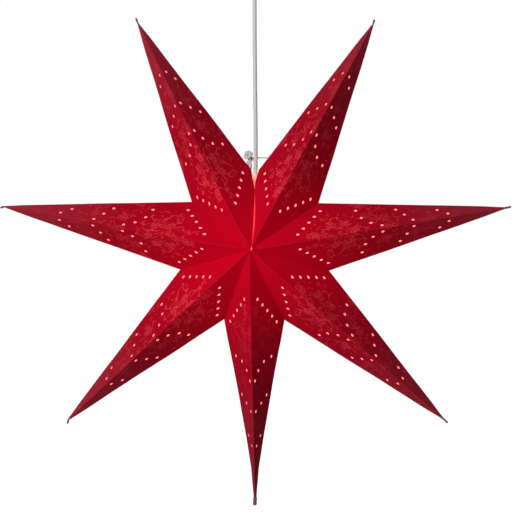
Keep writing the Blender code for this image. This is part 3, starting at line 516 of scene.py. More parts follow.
def moulded(name, base, roughness, grain, strength):
    """Injection moulded plastic with a fine eroded texture from its mould."""
    material, tree = new_finish(name, specular_ior_level=0.45)
    place = add(tree, "TexCoord", output="Object")
    pits = add(tree, "TexNoise", {"Vector": place, "Scale": grain, "Detail": 3.0, "Roughness": 0.6})
    clouds = add(tree, "TexNoise", {"Vector": place, "Scale": 60.0, "Detail": 1.0})
    value = add(tree, "MapRange", (clouds, 0.3, 0.7, 0.975, 1.02))
    tint = add(tree, "HueSaturation", {"Color": base, "Value": value})
    rough = add(tree, "MapRange", (pits, 0.3, 0.7, roughness - 0.05, roughness + 0.07))
    bump = add(tree, "Bump", {"Strength": strength, "Distance": 0.0002, "Height": pits})
    return shade(material, base_color=tint, roughness=rough, normal=bump)


def eroded_white():
    return moulded("White ABS with eroded texture", settings().hanging.plastic, 0.48, 1400.0, 0.25)


def gloss_white():
    return moulded("White PBT from a polished mould", settings().hanging.plastic, 0.3, 500.0, 0.08)


def glazed_steatite():
    """Pressed steatite under a clear glaze: warm white, glossy, with pinhole specks."""
    material, tree = new_finish("Glazed steatite", roughness=0.18, ior=1.52, coat_weight=0.3)
    place = add(tree, "TexCoord", output="Object")
    specks = add(tree, "TexVoronoi", {"Vector": place, "Scale": 700.0}, "Distance")
    dark = add(tree, "MapRange", (specks, 0.05, 0.25, 0.82, 1.0))
    tint = add(tree, "HueSaturation", {"Color": settings().lamp.ceramic, "Value": dark})
    return shade(material, base_color=tint)


def metal(name, base, roughness, scale, contrast):
    """Plated metal with the fine clouding and drawn marks of its sheet."""
    material, tree = new_finish(name, metallic=1.0)
    place = add(tree, "TexCoord", output="Object")
    drawn = add(tree, "VectorMath", (place, (scale, scale, scale / 12)), operation="MULTIPLY")
    marks = add(tree, "TexNoise", {"Vector": drawn, "Scale": 1.0, "Detail": 4.0, "Roughness": 0.6})
    value = add(tree, "MapRange", (marks, 0.3, 0.7, 1 - contrast, 1 + contrast))
    tint = add(tree, "HueSaturation", {"Color": base, "Value": value})
    rough = add(tree, "MapRange", (marks, 0.3, 0.7, roughness - 0.08, roughness + 0.1))
    bump = add(tree, "Bump", {"Strength": 0.1, "Distance": 0.0001, "Height": marks})
    return shade(material, base_color=tint, roughness=rough, normal=bump)


def zinc_sheet():
    return metal("Zinc plated sheet steel", settings().hanging.steel, 0.38, 600.0, 0.10)


def nickel_brass():
    return metal("Nickel plated rolled brass", settings().lamp.plated, 0.28, 900.0, 0.06)


def tinned_solder():
    return metal("Tinned solder", "#B7B9BA", 0.42, 1500.0, 0.12)


def opal_globe():
    """Opal polycarbonate lit from inside: an even warm glow, a little dimmer towards its rim."""
    material, tree = new_finish("Lit opal polycarbonate", roughness=0.35, ior=1.58)
    place = add(tree, "TexCoord", output="Object")
    clouds = add(tree, "TexNoise", {"Vector": place, "Scale": 90.0, "Detail": 2.0})
    height = add(tree, "SeparateXYZ", (place,), "Z")
    fall = add(tree, "MapRange", (height, STAR_CENTRE.z - 0.015, STAR_CENTRE.z + 0.013, 1.45, 1.0))
    even = add(tree, "MapRange", (clouds, 0.3, 0.7, 0.96, 1.04))
    strength = add(tree, "Math", (fall, even), operation="MULTIPLY")
    return shade(material, base_color="#F2E6D2", emission_color=settings().lamp.globe,
                 emission_strength=strength)


def white_board():
    """White solder mask over a round board, with the faint weave of the glass cloth under it."""
    material, tree = new_finish("White solder mask", roughness=0.35)
    place = add(tree, "TexCoord", output="Object")
    weave = add(tree, "TexWave", {"Vector": place, "Scale": 350.0, "Distortion": 0.5}, "Fac")
    value = add(tree, "MapRange", (weave, 0.0, 1.0, 0.95, 1.02))
    tint = add(tree, "HueSaturation", {"Color": "#DDE0DC", "Value": value})
    return shade(material, base_color=tint)


def studio_floor():
    """A matt white sweep: it shows white to the camera but keeps the object's shadow."""
    material, tree = new_finish("Matt white sweep", roughness=0.9, specular_ior_level=0.1)
    place = add(tree, "TexCoord", output="Object")
    grain = add(tree, "TexNoise", {"Vector": place, "Scale": 25.0, "Detail": 2.0})
    value = add(tree, "MapRange", (grain, 0.3, 0.7, 0.79, 0.81))
    seen = add(tree, "LightPath", output="Is Camera Ray")
    return shade(material, base_color=add(tree, "CombineColor", (value, value, value)),
                 emission_color="#FFFFFF", emission_strength=seen)


# Shapes

def direction(degrees):
    angle = math.radians(degrees)
    return Vector((math.cos(angle), 0, math.sin(angle)))


def in_scene(name, data):
    """An object of some data, linked to the scene."""
    thing = bpy.data.objects.new(name, data)
    bpy.context.scene.collection.objects.link(thing)
    return thing


def new_piece(name, data, body, nodes, finishes, sharp_degrees=35):
    """Put finished mesh or curve data in the scene as a piece that rides on a body."""
    piece = in_scene(name, data)
    if not data.materials:
        for build in finishes:
            data.materials.append(finish(build))
    if isinstance(data, bpy.types.Mesh):
        data.shade_smooth()
        data.set_sharp_from_angle(angle=math.radians(sharp_degrees))
    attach(piece, body)
    if nodes:
        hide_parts(*nodes)
    return piece


def shape_piece(name, shape, body, node, build):
    """Put a shape in the scene as a piece in the place of one solid."""
    return new_piece(name, mesh_of(shape, name), body, [node], [build])


def mesh_of(shape, name):
    """The bmesh as a mesh, with its doubles merged and its faces turned outwards."""
    bmesh.ops.remove_doubles(shape, verts=shape.verts, dist=MERGE_DISTANCE)
    bmesh.ops.recalc_face_normals(shape, faces=shape.faces)
    mesh = bpy.data.meshes.new(name)
    shape.to_mesh(mesh)
    shape.free()
    return mesh


def shaped_by(mesh, kind, **options):
    """The mesh with one modifier applied."""
    thing = in_scene("being_shaped", mesh)
    modifier = thing.modifiers.new("Shape", kind)
    for key, value in options.items():
        setattr(modifier, key, value)
    graph = bpy.context.evaluated_depsgraph_get()
    result = bpy.data.meshes.new_from_object(thing.evaluated_get(graph))
    result.name = mesh.name
    bpy.data.objects.remove(thing)
    return result


def walled(mesh, thickness):
    """The sheet with half a wall to either side, its inner side in the next of its materials."""
    return shaped_by(mesh, "SOLIDIFY", thickness=thickness, offset=0.0, material_offset=1)


def cut_mesh(mesh, cutter):
    """The mesh with the cutter's shapes taken out of it."""
    tool = in_scene("cutter", cutter)
    result = shaped_by(mesh, "BOOLEAN", operation="DIFFERENCE", solver="EXACT", object=tool)
    bpy.data.objects.remove(tool)
    return result


def bevelled(shape, edges, width, segments=2):
    return bmesh.ops.bevel(shape, geom=edges, offset=width, segments=segments, profile=0.5,
                           affect="EDGES", material=-1, clamp_overlap=True)


def is_sharp(edge, least_degrees):
    """Whether an edge joins two faces at more than that angle."""
    return len(edge.link_faces) == 2 and edge.calc_face_angle(0) > math.radians(least_degrees)


def round_edges(shape, width):
    """Bevel the edges where faces meet at more than 30 degrees."""
    bevelled(shape, [edge for edge in shape.edges if is_sharp(edge, 30)], width)


def grow(shape, edges):
    """Extrude edges, and give the new verts and the new edges."""
    grown = bmesh.ops.extrude_edge_only(shape, edges=edges)["geom"]
    return [[part for part in grown if isinstance(part, kind)]
            for kind in (bmesh.types.BMVert, bmesh.types.BMEdge)]


def turned(profile, sides=64, closed=True, rounding=0.0003, centre=(0, 0, 0)):
    """A turned shape from its outline of (radius, height) pairs. An open outline starts and ends
    on the axis."""
    shape = bmesh.new()
    verts = [shape.verts.new((radius, 0, height)) for radius, height in profile]
    edges = [shape.edges.new(pair) for pair in zip(verts, verts[1:])]
    if closed:
        edges.append(shape.edges.new((verts[-1], verts[0])))
    bmesh.ops.spin(shape, geom=verts + edges, cent=(0, 0, 0), axis=(0, 0, 1), angle=2 * math.pi,
                   steps=sides, use_merge=True)
    bmesh.ops.remove_doubles(shape, verts=shape.verts, dist=MERGE_DISTANCE)
    bmesh.ops.recalc_face_normals(shape, faces=shape.faces)
    if rounding:
        round_edges(shape, rounding)
    bmesh.ops.translate(shape, verts=shape.verts, vec=centre)
    return shape


def rod_across(cutter, depth):
    """A rod along X that cuts the holes for the cup's two screws."""
    bmesh.ops.create_cone(
        cutter, cap_ends=True, segments=24, radius1=0.0017, radius2=0.0017, depth=depth,
        matrix=Matrix.Translation((0, 0, CUP_SCREW_HEIGHT)) @ Matrix.Rotation(math.pi / 2, 4, "Y"))


def smooth_route(points, steps):
    """Points along a smooth curve through the given ones, some steps to each stretch."""
    route = []
    ends = [Vector(point) for point in (points[0], *points, points[-1])]
    for before, start, end, after in zip(ends, ends[1:], ends[2:], ends[3:]):
        for t in (step / steps for step in range(steps)):
            route.append(0.5 * (2 * start + (end - before) * t
                                + (2 * before - 5 * start + 4 * end - after) * t ** 2
                                + (3 * start - before - 3 * end + after) * t ** 3))
    return route + [ends[-1]]


def route_frames(route):
    """A matrix at each point of a route, its Z along the route and its turn carried on smoothly."""
    frames = []
    across = None
    for index, place in enumerate(route):
        along = (route[min(index + 1, len(route) - 1)] - route[max(index - 1, 0)]).normalized()
        across = across or along.orthogonal()
        across = (across - along * across.dot(along)).normalized()
        frame_here = Matrix((across, along.cross(across), along)).transposed().to_4x4()
        frame_here.translation = place
        frames.append(frame_here)
    return frames


def sweep(shape, frames, sides):
    """Carry a circle of radius 1 along the frames and close its ends."""
    start = bmesh.ops.create_circle(shape, segments=sides, radius=1, matrix=frames[0])["verts"]
    ring, edges = start, list(dict.fromkeys(edge for vert in start for edge in vert.link_edges))
    for before, after in zip(frames, frames[1:]):
        ring, edges = grow(shape, edges)
        bmesh.ops.transform(shape, matrix=after @ before.inverted(), verts=ring)
    for verts in (start, ring):
        bmesh.ops.contextual_create(shape, geom=list(verts))


def plied(name, route, radius, plies, pitch):
    """A twisted string along a route: plies wound round it, one turn to each pitch."""
    shape = bmesh.new()
    ply_radius = radius * 0.60
    frames = route_frames(route)
    distances = [0.0]
    for first, second in zip(route, route[1:]):
        distances.append(distances[-1] + (second - first).length)
    for ply in range(plies):
        wound = []
        for frame_here, distance in zip(frames, distances):
            turn = 2 * math.pi * (distance / pitch + ply / plies)
            offset = Matrix.Rotation(turn, 4, "Z") @ Matrix.Translation((radius - ply_radius, 0, 0))
            wound.append(frame_here @ offset @ Matrix.Diagonal((ply_radius, ply_radius, 1, 1)))
        sweep(shape, wound, 8)
    return mesh_of(shape, name)


def evenly(route, spacing):
    """The same route with its points about that far apart."""
    spaced = [route[0]]
    for place in route[1:]:
        stretch = place - spaced[-1]
        count = max(1, round(stretch.length / spacing))
        start = spaced[-1].copy()
        spaced += [start + stretch * (step + 1) / count for step in range(count)]
    return spaced


# Paper

CARD_FINISHES = (red_card, lit_inside, opened_fold, lit_inside)


def point_axes(index):
    """Outwards along a point, seen from in front, and square to that."""
    outward = direction(TIP_DIRECTIONS[index])
    return outward, Vector((-outward.z, 0, outward.x))


def notch_square(notch_degrees, tip_degrees):
    """The direction square to a valley's own plane, towards the point."""
    notch = direction(notch_degrees)
    square = Vector((-notch.z, 0, notch.x))
    return square if square.dot(direction(tip_degrees)) > 0 else -square


def on_face(place, pole, tip, notch):
    """The point of a face's plane that lies straight before or behind a place."""
    normal = (tip - pole).cross(notch - pole)
    depth = pole.y - (normal.x * (place.x - pole.x) + normal.z * (place.z - pole.z)) / normal.y
    return Vector((place.x, depth, place.z))


def seam_places(pole, tip, notch):
    """A face's edge at the seam, from the notch in to the pole, with a soft flare at the notch."""
    paper = settings().paper
    middle = direction(SEAM_DIRECTION)
    sideways = notch_square(SEAM_DIRECTION, 0)
    if sideways.dot(tip) < 0:
        sideways = -sideways
    spread, outer = notch.dot(sideways), notch.dot(middle)
    steps = 6
    places = [notch]
    for far, near, flared in ((outer, paper.seam_closed, True), (paper.seam_closed, paper.pole_gap, False)):
        for share in (1 - step / steps for step in range(1, steps + 1)):
            opened = spread * share ** 1.5 if flared else paper.seam_gap / 2 * math.sin(math.pi * share)
            place = middle * (near + (far - near) * share) + sideways * (GAP / 2 + opened)
            places.append(on_face(place, pole, tip, notch))
    return places


def face_corners(index, half, side):
    """The corners of one face of a point, round from its ridge at the pole, and its fold lines."""
    paper = settings().paper
    outward = direction(TIP_DIRECTIONS[index])
    tip = outward * paper.tip_radius
    notch_degrees = NOTCH_DIRECTIONS[index + half]
    notch = direction(notch_degrees) * paper.notch_radius
    pole = Vector((0, side * paper.depth / 2, 0))
    cut = paper.tip_radius - paper.tip_trim
    reach = notch.dot(outward)
    corners = [
        pole.lerp(tip, paper.pole_gap / (tip - pole).length), pole.lerp(tip, cut / paper.tip_radius),
        notch.lerp(tip, (cut - reach) / (paper.tip_radius - reach)),
    ]
    if index + half in (0, len(POINT_NAMES)):
        corners += seam_places(pole, tip, notch)
    else:
        aside = notch_square(notch_degrees, TIP_DIRECTIONS[index]) * (paper.thickness / 2)
        corners += [notch + aside, pole.lerp(notch, paper.pole_gap / (notch - pole).length) + aside]
    return corners, pole, tip, notch


def map_face(face, layer, pole, tip, half):
    """Map a face in its own plane: along its ridge and across from it, in units of UV_LENGTH. The
    two faces at a ridge lie to either side of it, so that the print runs over the fold."""
    ridge = (tip - pole).normalized()
    for loop in face.loops:
        offset = loop.vert.co - pole
        along = offset.dot(ridge)
        across = (offset - ridge * along).length * (1 if half else -1)
        loop[layer].uv = (along / UV_LENGTH, across / UV_LENGTH)


def stray(place):
    """How far the front's pole and seam stray from their true place, as hand-made folds do. The
    seam's share fades out towards the ridges to either side of it."""
    paper = settings().paper
    if place.y > 0:
        return Vector()

    def bow(radius):
        return paper.bow * max(0.0, 1 - ((radius - paper.bow_middle) / paper.bow_reach) ** 2)

    radius = math.hypot(place.x, place.z)
    near = max(0.0, 1 - radius / POLE_STRAY_REACH) ** 2
    aside = abs(place.dot(notch_square(SEAM_DIRECTION, 0)))
    angle = max(0.0, aside - paper.seam_gap / 2) / max(place.z, GAP)
    on_seam = max(0.0, 1 - angle / math.tan(math.pi / len(POINT_NAMES))) if place.z > 0 else 0
    return Vector((bow(0) * near * (1 - on_seam) + bow(radius) * on_seam, 0, paper.pole_up * near))


def sway_folds(shape, outward):
    """Let the folds stray a little, as hand-made folds do, but not at the notches and the tip."""
    paper = settings().paper
    noise.seed_set(SWAY_SEED)
    clear, fade, lumps_to_a_metre = 0.03, 0.05, 14
    inner, outer = paper.notch_radius + clear, paper.tip_radius - clear
    for vert in shape.verts:
        radius = vert.co.dot(outward)
        near = min(max((radius - inner) / fade, 0), 1) * min(max((outer - radius) / fade, 0), 1)
        vert.co += noise.noise_vector(vert.co * lumps_to_a_metre) * paper.sway * near


def share_at(table, distance):
    """The value of a table of falling distances and shares at one distance."""
    for (far, first), (near, second) in zip(table, table[1:]):
        if distance > near:
            return first + (second - first) * min(max((far - distance) / (far - near), 0), 1)
    return table[-1][1]


def bow_sides(shape, index):
    """Bow a point's side folds outwards, or pinch them in."""
    tip_radius = settings().paper.tip_radius
    outward, sideways = point_axes(index)
    table = PINCHED_WIDTHS if TAB_BEAD_SHARES[index] else BOWED_WIDTHS
    for vert in shape.verts:
        share = share_at(table, tip_radius - vert.co.dot(outward))
        vert.co += sideways * vert.co.dot(sideways) * (share - 1)


def end_shift(place, index):
    """How far a place on a point strays towards the point's end, as hand-made folds do."""
    paper = settings().paper
    outward, sideways = point_axes(index)
    share = max(0.0, (place.dot(outward) - paper.notch_radius) / (paper.tip_radius - paper.notch_radius))
    further, aside = END_SHIFTS[index]
    return outward * further * share ** 3 + sideways * aside * share


def turn_in_flaps(shape, index, half):
    """Turn a glue flap inwards along both valleys on one side of a point."""
    paper = settings().paper
    notch_degrees = NOTCH_DIRECTIONS[index + half]
    square = notch_square(notch_degrees, TIP_DIRECTIONS[index])
    outward = direction(notch_degrees)
    slope = math.atan2(paper.depth / 2, paper.notch_radius)

    def on_valley(vert):
        aside = abs(vert.co.dot(square) - paper.thickness / 2)
        return aside < MERGE_DISTANCE and vert.co.dot(outward) > 0

    edges = [edge for edge in shape.edges if edge.is_boundary and all(map(on_valley, edge.verts))]
    for vert in grow(shape, edges)[0]:
        side = math.copysign(1, vert.co.y)
        if abs(vert.co.y) < MERGE_DISTANCE:
            vert.co -= outward * paper.flap / math.sin(slope)
        elif vert.co.dot(outward) < 2 * paper.pole_gap:
            vert.co.y -= side * paper.flap / math.cos(slope)
        else:
            vert.co -= outward * math.sin(slope) * paper.flap
            vert.co.y -= side * math.cos(slope) * paper.flap


def close_tip(shape, outward):
    """Draw the open end of a point together round its tab."""
    paper = settings().paper
    cut = paper.tip_radius - paper.tip_trim
    edges = [edge for edge in shape.edges
             if edge.is_boundary and all(vert.co.dot(outward) > cut - MERGE_DISTANCE for vert in edge.verts)]
    for advance, width in TIP_CLOSING:
        verts, edges = grow(shape, edges)
        for vert in verts:
            middle = outward * vert.co.dot(outward)
            vert.co = middle + outward * advance + (vert.co - middle) * width


def punched_face(shape, layer, index, half, side):
    """One face of a point with its small round holes, and mapped."""
    corners, pole, tip, notch = face_corners(index, half, side)
    verts = [shape.verts.new(corner) for corner in corners]
    edges = [shape.edges.new(pair) for pair in zip(verts, verts[1:] + verts[:1])]
    normal = (tip - pole).cross(notch - pole).normalized()
    turn = normal.to_track_quat("Z", "Y").to_matrix().to_4x4()
    slip = PUNCH_SLIPS[index] + (BACK_PUNCH_SLIPS[index] if side > 0 else 0)
    for along, across in HOLE_SHARES:
        place = pole + (tip - pole) * along + (notch - pole) * across + (tip - pole).normalized() * slip
        rim = bmesh.ops.create_circle(shape, segments=14, radius=settings().paper.hole / 2,
                                      matrix=Matrix.Translation(place) @ turn)["verts"]
        edges += dict.fromkeys(edge for vert in rim for edge in vert.link_edges)
    filled = bmesh.ops.triangle_fill(shape, edges=edges, use_beauty=True, normal=normal)["geom"]
    for face in (part for part in filled if isinstance(part, bmesh.types.BMFace)):
        map_face(face, layer, pole, tip, half)


def folded_point(index):
    """One point of the star: a single card folded at its ridges and sides, flapped, closed and
    punched."""
    paper = settings().paper
    outward = direction(TIP_DIRECTIONS[index])
    cut = paper.tip_radius - paper.tip_trim
    shape = bmesh.new()
    layer = shape.loops.layers.uv.new("fold")
    for half in (0, 1):
        for side in (-1, 1):
            punched_face(shape, layer, index, half, side)
    bmesh.ops.remove_doubles(shape, verts=shape.verts, dist=MERGE_DISTANCE)
    # Cuts across the point give it verts that can stray
    stations = 12
    radii = [paper.notch_radius + (cut - paper.notch_radius) * step / stations
             for step in range(1, stations)]
    for radius in (*NEAR_CUTS, *radii):
        bmesh.ops.bisect_plane(shape, geom=shape.verts[:] + shape.edges[:] + shape.faces[:],
                               plane_co=outward * radius, plane_no=outward, dist=MERGE_DISTANCE)
    sway_folds(shape, outward)
    bow_sides(shape, index)
    for half in (0, 1):
        if index + half not in (0, len(POINT_NAMES)):
            turn_in_flaps(shape, index, half)
    close_tip(shape, outward)
    for vert in shape.verts:
        vert.co += stray(vert.co)
    bmesh.ops.recalc_face_normals(shape, faces=shape.faces)
    front = max(shape.faces, key=lambda face: -face.calc_center_median().y)
    if front.normal.y > 0:
        bmesh.ops.reverse_faces(shape, faces=shape.faces[:])
    folds = [edge for edge in shape.edges
             if is_sharp(edge, 20) and edge.calc_length() > SHORTEST_FOLD
             and max(vert.co.dot(outward) for vert in edge.verts) < cut + MERGE_DISTANCE
             and min(vert.co.xz.length for vert in edge.verts) > POLE_CLEARANCE]
    for face in bevelled(shape, folds, paper.fold)["faces"]:
        face.material_index = 2
    bmesh.ops.dissolve_degenerate(shape, dist=paper.fold / 10, edges=shape.edges[:])
    for vert in shape.verts:
        vert.co += end_shift(vert.co, index)
    bmesh.ops.translate(shape, verts=shape.verts, vec=STAR_CENTRE)
    mesh = bpy.data.meshes.new(f"paper_point_{POINT_NAMES[index]}")
    shape.to_mesh(mesh)
    shape.free()
    for build in CARD_FINISHES:
        mesh.materials.append(finish(build))
    return walled(mesh, paper.thickness)


def seam_lining(side):
    """A strip of card just inside the closed seam, on which its two edges meet."""
    paper = settings().paper
    middle = direction(SEAM_DIRECTION)
    inward = Vector((0, -side, 0))
    ends = []
    for radius in (3 * paper.pole_gap, paper.seam_closed):
        places = []
        for index, half in ((0, 0), (len(POINT_NAMES) - 1, 1)):
            _, pole, tip, notch = face_corners(index, half, side)
            places.append(on_face(middle * radius, pole, tip, notch))
        # The deeper of the two faces, and a little clear of it
        ends.append(min(places, key=lambda place: place.y * side) + inward * LINING_DROP)
    start, end = ends
    across = (end - start).normalized().cross(inward).normalized() * LINING_WIDTH
    shape = bmesh.new()
    bmesh.ops.create_grid(shape, x_segments=10, y_segments=1, size=0.5)
    turn = Matrix((end - start, across, inward)).transposed().to_4x4()
    bmesh.ops.transform(shape, matrix=Matrix.Translation(STAR_CENTRE + (start + end) / 2) @ turn,
                        verts=shape.verts)
    for vert in shape.verts:
        vert.co += stray(vert.co - STAR_CENTRE)
    bmesh.ops.solidify(shape, geom=shape.faces[:], thickness=paper.thickness)
    return mesh_of(shape, f"seam_lining_{'front' if side < 0 else 'back'}")


def pinched_tab(index):
    """The creased end of a point: flattened card, twisted once and bent over."""
    paper = settings().paper
    outward, sideways = point_axes(index)
    past_share, sideways_share, forward_share = TAB_END_SHARES[index]
    start = paper.tip_radius - paper.tip_trim + GAP
    reach = paper.tip_radius + paper.tab * past_share - start
    shares = [step / 16 for step in range(17)]
    route = []
    for share in shares:
        bend = (max(0.0, share - 0.4) / 0.6) ** 2 * paper.tab
        route.append(outward * (start + reach * share) + sideways * bend * sideways_share
                     + Vector((0, -bend * forward_share, 0)))
    frames = []
    for share, frame_here in zip(shares, route_frames(route)):
        end = 0.7 if share in (0, 1) else 1
        end *= 1 + TAB_BEAD_SHARES[index] * (0.8 + 0.2 * share ** 4)
        width = paper.tab_radius * (1 - 0.08 * share) * end
        thin = paper.tab_radius * (0.78 + 0.12 * math.sin(9 * share)) * end
        twist = Matrix.Rotation(0.6 + 1.2 * share, 4, "Z")
        spot = Matrix.Translation(STAR_CENTRE) @ frame_here
        frames.append(spot @ twist @ Matrix.Diagonal((width, thin, 1, 1)))
    shape = bmesh.new()
    sweep(shape, frames, 12)
    for vert in shape.verts:
        vert.co += end_shift(vert.co - STAR_CENTRE, index)
    return mesh_of(shape, f"pinched_tab_{POINT_NAMES[index]}")


# Ties

def side_fold_place(index, half, height):
    """The place on a point's side fold at some height above the star's centre."""
    paper = settings().paper
    tip = direction(TIP_DIRECTIONS[index]) * paper.tip_radius
    notch = direction(NOTCH_DIRECTIONS[index + half]) * paper.notch_radius
    return notch.lerp(tip, (height - notch.z) / (tip.z - notch.z))


def knot_middle():
    """The knot's middle, clear of the upper left point."""
    ties = settings().ties
    left = side_fold_place(0, 0, ties.height).x
    reach = max(-across for across, _, _ in KNOT_SHARES) * ties.knot_width
    return Vector((left + reach + ties.knot_radius * ties.knot_swell + ties.knot_gap, 0, ties.height))


def string_route():
    """From the right point's edge, behind the cord and on to the knot."""
    ties = settings().ties
    right = side_fold_place(len(POINT_NAMES) - 1, 1, ties.height).x
    behind = settings().hanging.cord_radius + GAP + ties.string_radius
    knot_side = knot_middle().x + ties.knot_radius
    route = ((right - ties.string_radius, behind / 3), (right / 2, behind * 0.8), (0, behind),
             (knot_side / 2, behind * 0.9), (knot_side, KNOT_SHARES[4][1] * ties.knot_depth))
    return smooth_route([(across, deep, ties.height) for across, deep in route], 6)


def knot_route():
    """A tail, two loops and a tail behind the cord, in one unbroken string."""
    ties = settings().ties
    middle = knot_middle()
    cord = settings().hanging.cord_radius
    points = [middle + Vector((x * ties.knot_width, y * ties.knot_depth, z * ties.knot_height))
              for x, y, z in KNOT_SHARES]
    behind = cord + GAP + ties.knot_radius
    turn = points[-1].z - ties.knot_radius
    points += [Vector((0, 1.2 * behind, turn)), Vector((cord * 0.4, behind, turn - ties.tail / 3)),
               Vector((cord * 0.5, behind, turn - ties.tail))]
    return smooth_route(points, 6)


def pole_route(side):
    """A stitch over a pole, which holds the paper's corners together."""
    ties, paper = settings().ties, settings().paper
    lift = paper.thickness / 2 + ties.thread_radius + GAP
    points = []
    for up_share, fall_share, lift_share in POLE_TIE_SHARES:
        slope = paper.depth / 2 / (paper.tip_radius if up_share < 0 else paper.notch_radius)
        depth = paper.depth / 2 - slope * ties.pole_reach * fall_share + lift * lift_share
        place = Vector((0, side * depth, up_share * ties.pole_reach))
        points.append(place + stray(place))
    return smooth_route(points, 5)


def tie_piece(name, route, radius, plies, pitch, node, build):
    moved = evenly([place + STAR_CENTRE for place in route], radius * 0.8)
    mesh = plied(name, moved, radius, plies, pitch)
    new_piece(name, mesh, "star", [node], [build], sharp_degrees=60)


# Operators

class PaperStarOperator(bpy.types.Operator):
    """Shared ground of the steps that build the lantern"""
    bl_idname = "paper_star.step"
    bl_label = "Paper star step"
    bl_options = {"REGISTER", "UNDO"}

    def build(self):
        raise NotImplementedError

    def execute(self, context):
        self.build()
        return {"FINISHED"}


class PAPER_STAR_OT_camera(PaperStarOperator):
    """Set up the camera in front of the star, a little to the right and above"""
    bl_idname = "paper_star.camera"
    bl_label = "Camera"

    def build(self):
        studio = settings().studio
        azimuth, elevation = math.radians(studio.azimuth), math.radians(studio.elevation)
        back = Vector((math.sin(azimuth) * math.cos(elevation), -math.cos(azimuth) * math.cos(elevation),
                       math.sin(elevation)))
        turn = (-back).to_track_quat("-Z", "Y")
        data = bpy.data.cameras.new("Studio camera")
        data.sensor_width = 36.0
        data.lens = data.sensor_width * studio.pixels_per_metre * studio.distance / IMAGE_SIZE
        data.clip_end = 50.0
        camera = in_scene("Studio camera", data)
        across, down = STAR_PIXEL
        aim = turn @ Vector((IMAGE_SIZE / 2 - across, down - IMAGE_SIZE / 2, 0)) / studio.pixels_per_metre
        camera.location = STAR_CENTRE + aim + back * studio.distance
        camera.rotation_mode = "QUATERNION"
        camera.rotation_quaternion = turn
        bpy.context.scene.camera = camera


class PAPER_STAR_OT_cord(PaperStarOperator):
    """Hang the round lead, taut, from the cord grip down to the lampholder"""
    bl_idname = "paper_star.cord"
    bl_label = "Cord"

    def build(self):
        hanging = settings().hanging
        top, low = -hanging.pivot, -hanging.cord_end
        curve = bpy.data.curves.new("lead", "CURVE")
        curve.dimensions = "3D"
        curve.bevel_depth = hanging.cord_radius
        curve.bevel_resolution = 6
        curve.use_fill_caps = True
        line = curve.splines.new("POLY")
        line.points.add(hanging.cord_points - 1)
        for index, point in enumerate(line.points):
            share = index / (hanging.cord_points - 1)
            bow = hanging.cord_bow * math.sin(math.pi * share ** 2.2)
            point.co = (bow, 0, top + (low - top) * share, 1)
        piece = new_piece("lead", curve, "cord", ["cord"], [lead_sheath])
        for name in ("cord_bend", "cord_in_cup"):
            dress_node(name, lead_sheath)


def dress_node(name, build):
    """Give a carried-over solid its finish."""
    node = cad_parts[name]
    node.data.materials.clear()
    node.data.materials.append(finish(build))


class PAPER_STAR_OT_points(PaperStarOperator):
    """Fold the seven points from printed card and line the seam"""
    bl_idname = "paper_star.points"
    bl_label = "Paper points"

    def build(self):
        for index, point in enumerate(POINT_NAMES):
            nodes = [f"panel_{point}_{face}_{half}"
                     for face in ("front", "back") for half in ("first", "second")]
            new_piece(f"paper_point_{point}", folded_point(index), "star", nodes, CARD_FINISHES,
                      sharp_degrees=12)
        for side in (-1, 1):
            mesh = seam_lining(side)
            new_piece(mesh.name, mesh, "star", [], [seam_glow])


class PAPER_STAR_OT_tabs(PaperStarOperator):
    """Pinch the seven tips into bent tabs"""
    bl_idname = "paper_star.tabs"
    bl_label = "Tip tabs"

    def build(self):
        for index, point in enumerate(POINT_NAMES):
            new_piece(f"pinched_tab_{point}", pinched_tab(index), "star", [f"tip_tab_{point}"],
                      [pinched_card])


class PAPER_STAR_OT_ties(PaperStarOperator):
    """Tie the string and its knot at the cord and stitch both poles"""
    bl_idname = "paper_star.ties"
    bl_label = "String and thread"

    def build(self):
        ties = settings().ties
        tie_piece("tie_string", string_route(), ties.string_radius, 3, 0.005, "neck_string", grey_string)
        tie_piece("tie_knot", knot_route(), ties.knot_radius * ties.knot_swell, 4, 0.010, "neck_knot",
                  grey_string)
        for side, face in ((-1, "front"), (1, "back")):
            tie_piece(f"pole_stitch_{face}", pole_route(side), ties.thread_radius, 3, 0.003,
                      f"pole_tie_{face}", white_thread)


